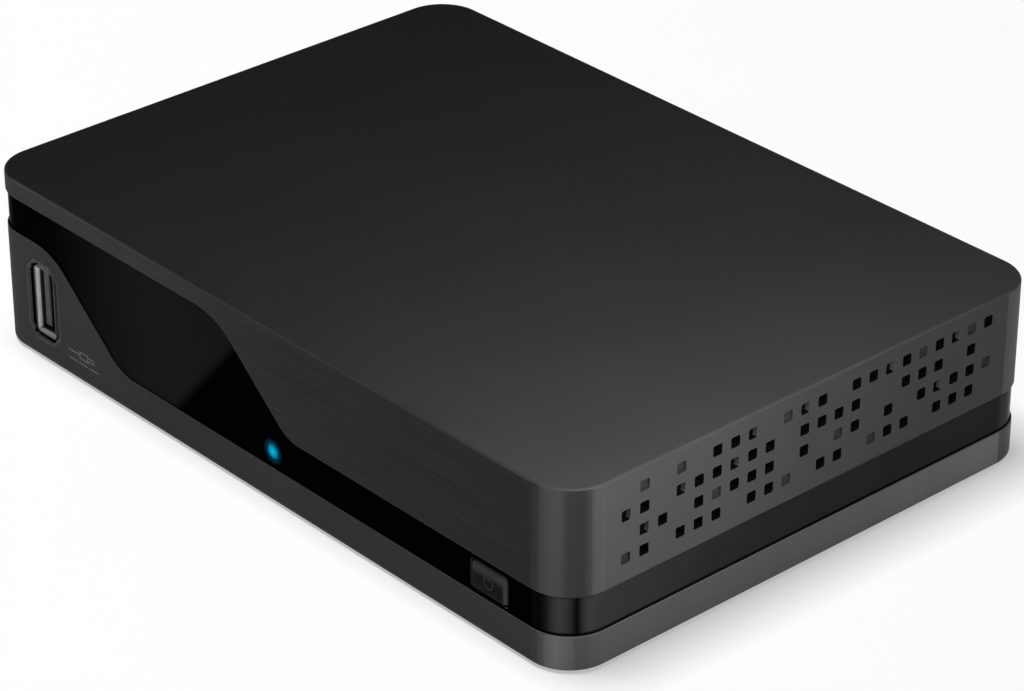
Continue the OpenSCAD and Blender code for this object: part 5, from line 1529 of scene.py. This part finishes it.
can_base = prism(
    "can_base", rounded_outline([Vector(c) * mm for c in (
        (-3.1, -3.1), (1.9, -3.1), (3.1, -1.9), (3.1, 1.9), (1.9, 3.1), (-3.1, 3.1))], 0.3 * mm, 2),
    [(0, 0), (0.6 * mm, 0), (0.8 * mm, -0.2 * mm)], from_above())
mounted(grow("can_bases", pieces_on_points, can_at, Piece=can_base, Finish=black_finish))


# Crystal: the quartz that times the processor, sealed in a small can drawn from tinned steel. The can has
# an oval outline and a flange round its foot, and is soldered flat on the main board.
crystal_mid, crystal_half = span_of("crystal")
crystal_can = prism(
    "crystal_can", rounded_outline(rectangle(crystal_half.x, crystal_half.y), crystal_half.y * 0.99, 10),
    [(board_top, 0), (board_top + 0.4 * mm, 0), (board_top + 0.5 * mm, -0.35 * mm),
     (board_top + 3.1 * mm, -0.35 * mm), (board_top + 3.4 * mm, -0.5 * mm),
     (board_top + 3.5 * mm, -0.8 * mm)],
    from_above(crystal_mid.x, crystal_mid.y))
crystal_can.data.materials.append(tin_finish)
mounted(crystal_can, "crystal")


# Tuner: a can folded from tinned sheet that screens the receiver for the aerial. Its lid snaps on over the
# frame and has rows of holes, and the aerial socket comes out of its back.
tuner_mid, tuner_half = span_of("tuner_can")
tuner_top, tuner_metal = tuner_mid.z + tuner_half.z, 0.5 * mm
at_tuner = from_above(tuner_mid.x, tuner_mid.y)
tuner_frame = rounded_outline(rectangle(tuner_half.x - 0.2 * mm, tuner_half.y - 0.2 * mm), 0.7 * mm, 4)
tuner_box = prism(
    "tuner_box", tuner_frame, [(board_top, 0), (tuner_top - 0.2 * mm, 0)], at_tuner)
tuner_box.data.materials.append(tin_finish)
carve(tuner_box, prism("tuner_lid", tuner_frame, [
    (tuner_top - 3 * mm, -0.1 * mm), (tuner_top - 3 * mm, 0.2 * mm), (tuner_top - 0.3 * mm, 0.2 * mm),
    (tuner_top, -0.1 * mm)], at_tuner), "UNION")
carve(tuner_box, prism("tuner_inside", tuner_frame, [
    (board_top - over, -tuner_metal), (tuner_top - tuner_metal, -tuner_metal)], at_tuner))
carve(tuner_box, set_along_y(
    round_cutter("aerial_hole", 5.55 * mm, tuner_mid.y + tuner_half.y, tuner_mid.y + tuner_half.y - 2 * mm),
    aerial_mid.x, aerial_mid.z, -1))
lid_hole_at = [
    (tuner_mid.x + (column - 1) * 4 * mm, tuner_mid.y + (line - 2.5) * 4.5 * mm, 0)
    for column in range(3) for line in range(6)]
carve(tuner_box, grow(
    "lid_holes", pieces_on_points, lid_hole_at,
    Piece=round_cutter("lid_hole", 0.7 * mm, tuner_top, tuner_top - 2 * mm), Finish=tin_finish))
mounted(tuner_box, "tuner_can")


# Behind the front: a side-press switch whose plunger meets the power button, the blue light source under
# the clear rod, and the remote control's receiver, a dark clear moulding with a domed lens.
switch_mid, switch_half = span_of("power_switch")
switch_front, switch_z = switch_mid.y - switch_half.y, board_top + 2 * mm
switch_body = prism(
    "switch_body", rounded_outline(rectangle(switch_half.x, switch_half.z), 0.25 * mm, 2),
    [(switch_front, -0.1 * mm), (switch_front + 0.1 * mm, 0), (switch_mid.y + switch_half.y - 0.1 * mm, 0),
     (switch_mid.y + switch_half.y, -0.1 * mm)], set_at(switch_mid))
carve(switch_body, prism(
    "plunger_pocket", rounded_outline(rectangle(1.45 * mm, 0.95 * mm), 0.1 * mm, 2),
    [(switch_front - over, 0), (switch_front + 1.35 * mm, 0)],
    lambda x, z, y: Vector((switch_mid.x + x, y, switch_z + z))))
switch_body.data.materials.append(black_finish)
mounted(switch_body, "power_switch")
switch_legs = grow(
    "switch_legs", row_of_pieces, Count=2, First=(switch_mid.x - 3.3 * mm, switch_mid.y, 0),
    Step=(6.6 * mm, 0, 0),
    Piece=prism(
        "switch_leg", rounded_outline(rectangle(0.4 * mm, 0.7 * mm), 0.1 * mm, 2),
        [(board_top, 0), (board_top + 0.5 * mm, 0), (board_top + 0.6 * mm, -0.1 * mm)], from_above()),
    Finish=tin_finish)
mounted(switch_legs)
plunger_mid, plunger_half = (plunger_low + plunger_high) / 2, (plunger_high - plunger_low) / 2
white_plunger = prism(
    "white_plunger", rounded_outline(rectangle(plunger_half.x, plunger_half.z), 0.2 * mm, 3),
    [(plunger_low.y, -0.15 * mm), (plunger_low.y + 0.15 * mm, 0), (plunger_high.y, 0)], set_at(plunger_mid))
white_plunger.data.materials.append(white_finish)
mounted(white_plunger, "switch_plunger", "plunger")

led_mid, led_half = span_of("power_led")
led_top = led_mid.z + led_half.z
led_finish = finish_of(
    "led_body", (0.78, 0.76, 0.66), (0.86, 0.84, 0.74), (0.4, 0.5),
    patch=1 * mm, grain=0.1 * mm, grain_depth=0.004 * mm, level=0.4)
light_source = prism(
    "light_source", rounded_outline(rectangle(led_half.x, led_half.y), 0.1 * mm, 2),
    [(board_top, 0), (led_top - 0.08 * mm, 0), (led_top, -0.08 * mm)], from_above(light_x, led_mid.y))
light_source.data.materials.append(led_finish)
light_cup = turned(
    "light_cup", [(0, 0.2 * mm), (0.8 * mm, 0.2 * mm), (0.5 * mm, -0.4 * mm), (0, -0.4 * mm)], 24)
light_cup.data.transform(Matrix.Translation((light_x, led_mid.y, led_top)))
light_cup.data.materials.append(yellow_finish)
carve(light_source, light_cup)
mounted(light_source, "power_led")

receiver_mid, receiver_half = span_of("ir_receiver")
lens_r = 2.2 * mm
receiver_front, receiver_back = receiver_mid.y - receiver_half.y + lens_r, receiver_mid.y + receiver_half.y
receiver_finish = finish_of(
    "receiver_dark", (0.016, 0.008, 0.011), (0.024, 0.012, 0.017), (0.14, 0.22),
    patch=3 * mm, grain=0.3 * mm, grain_depth=0.003 * mm)
receiver_eye = prism(
    "receiver_eye", rounded_outline(rectangle(receiver_half.x, receiver_half.z), 0.4 * mm, 3),
    [(receiver_front, -0.15 * mm), (receiver_front + 0.15 * mm, 0), (receiver_back - 0.15 * mm, 0),
     (receiver_back, -0.15 * mm)], set_at(receiver_mid))
carve(receiver_eye, set_along_y(turned("lens_dome", [
    (0, -receiver_front - over), (lens_r, -receiver_front - over),
    *[(lens_r * c, lens_r * s - receiver_front) for s, c in quarter(12)]], 48),
    receiver_mid.x, receiver_mid.z, 1), "UNION")
receiver_eye.data.materials.append(receiver_finish)
mounted(receiver_eye, "ir_receiver")


# Rear panel: a stretch of the ring between the shells, moulded by itself in satin black plastic. It laps
# behind both shells as the band does, and has an opening for each socket.
panel_recess = 0.7 * mm
panel_face = half_d - panel_recess
panel_half_w = half_w - corner_r - seam_gap
panel_gap = 0.15 * mm
panel_finish = finish_of(
    "panel_plastic", (0.014, 0.014, 0.0145), (0.019, 0.019, 0.0195), (0.4, 0.5),
    patch=25 * mm, grain=0.3 * mm, grain_depth=0.015 * mm, level=0.35)
panel_stops = [panel_half_w, -panel_half_w] + [
    x for e in (base_edges[1], cover_edges[1]) for x in e.bends() if abs(x) < panel_half_w]
panel = new_piece("socket_panel", loft("socket_panel", [
    band_section(Station(Vector((x, half_d)), Vector((0, 1))), panel_recess)
    for x in sorted(panel_stops, reverse=True)], goes_round=False, ring=True))
panel.data.materials.append(panel_finish)
for middle, radius in ((aerial_mid, aerial_r), (sound_mid, 3 * mm), (inlet_mid, 4 * mm)):
    carve(panel, set_along_y(
        round_cutter("socket_hole", radius + panel_gap, panel_face, port_seat - over),
        middle.x, middle.z, -1))
for middle, corners, rounding in (
        (picture_mid, picture_corners, 0.7 * mm),
        (shield_mid, rectangle(shield_half.x, shield_half.z), 0.45 * mm)):
    levels = [
        (panel_face + over, panel_gap + bevel + over), (panel_face - bevel, panel_gap),
        (port_seat - over, panel_gap)]
    carve(panel, prism("socket_hole", rounded_outline(corners, rounding, 4), levels, set_at(middle)))
mounted(panel, "rear_panel")


# Top cover: the upper shell, roof and walls in one moulding like the bottom case. Its lower edge steps
# down across the front, a field of square vents opens its right wall, and posts inside take the screws.
top_edge_r = 0.45 * mm
roof_under = case_top - plate
upper_shell = new_piece("upper_shell", loft("upper_shell", [
    shell_section(s, cover_edges, case_top, -1, top_edge_r)
    for run in case_stations() for s in run]))
# The top cover's front, corners and sides carry painted light and shade, given by the tones below.
cover_finishes = shell_finishes(
    lightness=1.0, front_lightness=0.92, lines=0.13,
    front_painted_light=[
        (-75 * mm, 0.95), (-45 * mm, 1.12), (-19 * mm, 1.26), (-5 * mm, 1.03), (12 * mm, 0.93),
        (40 * mm, 0.84), (65 * mm, 0.75)],
    corner_painted_light=[
        (0, 0.3), (6, 0.36), (14, 0.84), (22, 0.97), (32, 0.9), (48, 0.4), (62, 0.32), (69, 0.5),
        (76, 0.96), (90, 0.98)],
    side_painted_light=[
        (-45 * mm, 1.0), (-22 * mm, 0.93), (-8 * mm, 0.84), (2 * mm, 0.74), (20 * mm, 0.67), (45 * mm, 0.7)])
dress_walls(upper_shell, cover_finishes)
carve(upper_shell, grow(
    "cover_posts", pieces_on_points, [(x, y, 0) for x, y in post_at],
    Piece=boss("cover_post", post_r, roof_under, post_meet), Finish=shell_finish), "UNION")
carve(upper_shell, grow(
    "cover_post_holes", pieces_on_points, [(x, y, 0) for x, y in post_at],
    Piece=round_cutter("cover_post_hole", 1.3 * mm, post_meet, screw_seat + 16 * mm), Finish=shell_finish))
cut_vents(upper_shell, 1, case_top - 3.64 * mm)
mounted(upper_shell, "top_cover")


# Screws: blackened ones driven from below, which sit in their wells and cut their threads in the posts of
# the top cover, and short bright ones that hold the main board. All have a cross for the driver.
screw_finish = finish_of(
    "dark_steel", (0.05, 0.05, 0.053), (0.085, 0.085, 0.09), (0.3, 0.45),
    patch=1.5 * mm, grain=0.15 * mm, grain_depth=0.004 * mm, metal=1.0)


def cross_screw(name, head_r, head_h, core_r, shank_r, shank_l):
    """A screw with a rounded head under its seat at zero and a threaded shank that points up."""
    edge, pitch, around, rings = 0.35 * head_h, 1.1 * mm, 20, 120
    screw = turned(name, [
        (0, -head_h),
        *[(head_r - edge * (1 - s), edge * (1 - c) - head_h) for s, c in quarter(5)],
        (head_r, 0), (0, 0)], 40)
    for half_a, half_b in ((head_r / 2, head_r / 7), (head_r / 7, head_r / 2)):
        carve(screw, prism(
            "driver_cross", rounded_outline(rectangle(half_a, half_b), 0.15 * mm, 2),
            [(-head_h - over, 0.2 * over), (-0.55 * head_h, -0.1 * mm)], from_above()))
    sections = []
    for i in range(around):
        turn = math.tau * i / around
        section = []
        for ring in range(rings + 1):
            level = shank_l * ring / rings
            tooth = abs(((level / pitch - i / around) % 1) * 2 - 1) ** 2
            point = min(1, (shank_l - level) / (2 * mm) + 0.35)
            r = (core_r + (shank_r - core_r) * tooth) * point
            section.append(Vector((r * math.cos(turn), r * math.sin(turn), level - lip)))
        sections.append(section)
    carve(screw, new_piece("shank", loft("shank", sections)), "UNION")
    return screw


screws = grow(
    "driven_screws", pieces_on_points, [(x, y, screw_seat) for x, y in post_at],
    Piece=cross_screw("case_screw", 2.6 * mm, 1.9 * mm, 0.92 * mm, 1.25 * mm, 15 * mm), Finish=screw_finish)
mounted(screws, "case_screws")
board_screw = cross_screw("board_screw", 2.2 * mm, 1.6 * mm, 0.62 * mm, 0.95 * mm, 4.9 * mm)
board_screw.data.transform(Matrix.Rotation(math.pi, 4, "X"))
short_screws = grow(
    "short_screws", pieces_on_points, [(x, y, board_top) for x, y in board_hole_at],
    Piece=board_screw, Finish=steel_finish)
mounted(short_screws, "board_screws")


# Floor: a wide pale studio floor. A lamp of its own lights it and leaves the soft shadow of the object on
# it. Where the floor is seen it also shines a little, which keeps that shadow pale.
floor_r, floor_sides, floor_shine = 12, 64, 0.45
floor_turns = [math.tau * i / floor_sides for i in range(floor_sides)]
floor_mesh = bpy.data.meshes.new("studio_floor")
floor_mesh.from_pydata(
    [(floor_r * math.cos(turn), floor_r * math.sin(turn), 0) for turn in floor_turns],
    [], [list(range(floor_sides))])
floor = new_piece("studio_floor", floor_mesh)
floor_finish = finish_of(
    "studio_paper", (0.87, 0.87, 0.87), (0.89, 0.89, 0.89), (0.85, 0.95),
    patch=400 * mm, grain=1 * mm, grain_depth=0.01 * mm, level=0.0)
floor_nodes, floor_link = floor_finish.node_tree.nodes, floor_finish.node_tree.links.new
floor_ray = floor_nodes.new("ShaderNodeLightPath")
seen = floor_nodes.new("ShaderNodeMath")
seen_mirrored = floor_nodes.new("ShaderNodeMath")
seen.operation = seen_mirrored.operation = "MAXIMUM"
floor_link(floor_ray.outputs["Is Camera Ray"], seen.inputs[0])
floor_link(floor_ray.outputs["Is Glossy Ray"], seen_mirrored.inputs[0])
floor_link(floor_ray.outputs["Is Transmission Ray"], seen_mirrored.inputs[1])
floor_link(seen_mirrored.outputs["Value"], seen.inputs[1])
floor_white = floor_nodes.new("ShaderNodeMath")
floor_white.operation = "MULTIPLY"
floor_white.inputs[1].default_value = floor_shine
floor_link(seen.outputs["Value"], floor_white.inputs[0])
white = floor_nodes.new("ShaderNodeEmission")
white.inputs["Strength"].default_value = 1
paper = floor_nodes.new("ShaderNodeMixShader")
floor_link(floor_white.outputs["Value"], paper.inputs["Fac"])
floor_link(floor_nodes["Principled BSDF"].outputs["BSDF"], paper.inputs[1])
floor_link(white.outputs["Emission"], paper.inputs[2])
floor_link(paper.outputs["Shader"], floor_nodes["Material Output"].inputs["Surface"])
floor.data.materials.append(floor_finish)


# Lamps: a soft key close by on the right of the front lights the object, with a weaker lamp over its right
# edge and one at its front left. A broad lamp lights the floor alone, and a pale sky fills in from low down.
def soft_lamp(name, place, aim, size, power, lit_floor):
    """A soft lamp of some width and depth, aimed at a point, that lights either the floor or the object."""
    lamp = bpy.data.lights.new(name, "AREA")
    lamp.shape = "RECTANGLE"
    lamp.size, lamp.size_y = size
    lamp.energy = power
    stand = bpy.data.objects.new(name, lamp)
    stand.location = place
    stand.rotation_euler = (Vector(aim) - Vector(place)).to_track_quat("-Z", "Y").to_euler()
    bpy.context.scene.collection.objects.link(stand)
    lit = bpy.data.collections.new(name + " lights")
    lit.objects.link(floor)
    lit.collection_objects[0].light_linking.link_state = "INCLUDE" if lit_floor else "EXCLUDE"
    stand.light_linking.receiver_collection = lit
    return stand


soft_lamp(
    "key_lamp", place=(0.15, -0.055, 0.1), aim=(0.06, -0.03, 0.02), size=(0.07, 0.07), power=0.265,
    lit_floor=False)
soft_lamp(
    "top_lamp", place=(0.1, 0.01, 0.15), aim=(0.06, 0.0, 0.03), size=(0.05, 0.05), power=0.03,
    lit_floor=False)
soft_lamp(
    "fill_lamp", place=(-0.11, -0.1, 0.03), aim=(-0.06, -0.053, 0.02), size=(0.04, 0.04), power=0.025,
    lit_floor=False)
soft_lamp(
    "floor_lamp", place=(-0.22, -0.22, 2.0), aim=(-0.22, -0.22, 0), size=(0.75, 0.8), power=46,
    lit_floor=True)

sky_pale_to, sky_dark_from = math.radians(6), math.radians(16)
sky = bpy.data.worlds.new("studio_sky")
sky.use_nodes = True
sky_nodes, sky_link = sky.node_tree.nodes, sky.node_tree.links.new
sky_way = sky_nodes.new("ShaderNodeTexCoord")
sky_split = sky_nodes.new("ShaderNodeSeparateXYZ")
sky_ramp = sky_nodes.new("ShaderNodeValToRGB")
sky_ramp.color_ramp.elements[0].position = math.sin(sky_pale_to)
sky_ramp.color_ramp.elements[0].color = (1, 1, 1, 1)
sky_ramp.color_ramp.elements[1].position = math.sin(sky_dark_from)
sky_ramp.color_ramp.elements[1].color = (0.01, 0.01, 0.01, 1)
sky_link(sky_way.outputs["Generated"], sky_split.inputs["Vector"])
sky_link(sky_split.outputs["Z"], sky_ramp.inputs["Fac"])
sky_link(sky_ramp.outputs["Color"], sky_nodes["Background"].inputs["Color"])
bpy.context.scene.world = sky
bpy.context.scene.view_settings.view_transform = "Standard"


# Camera: a long lens that looks down on the near corner, between the front and the right wall.
camera_data = bpy.data.cameras.new("camera")
camera_data.sensor_fit = "HORIZONTAL"
camera_data.lens = 138.33
camera_data.shift_x, camera_data.shift_y = 0.0074, 0.0096
camera = bpy.data.objects.new("camera", camera_data)
camera_azimuth, camera_height, camera_reach = math.radians(48.34), math.radians(29.53), 660.9 * mm
camera_aim = Vector((12.86, -10.3, 16)) * mm
camera_way = Vector((
    math.cos(camera_height) * math.sin(camera_azimuth),
    -math.cos(camera_height) * math.cos(camera_azimuth),
    math.sin(camera_height)))
camera.location = camera_aim + camera_way * camera_reach
camera.rotation_euler = (-camera_way).to_track_quat("-Z", "Y").to_euler()
bpy.context.scene.collection.objects.link(camera)
bpy.context.scene.camera = camera
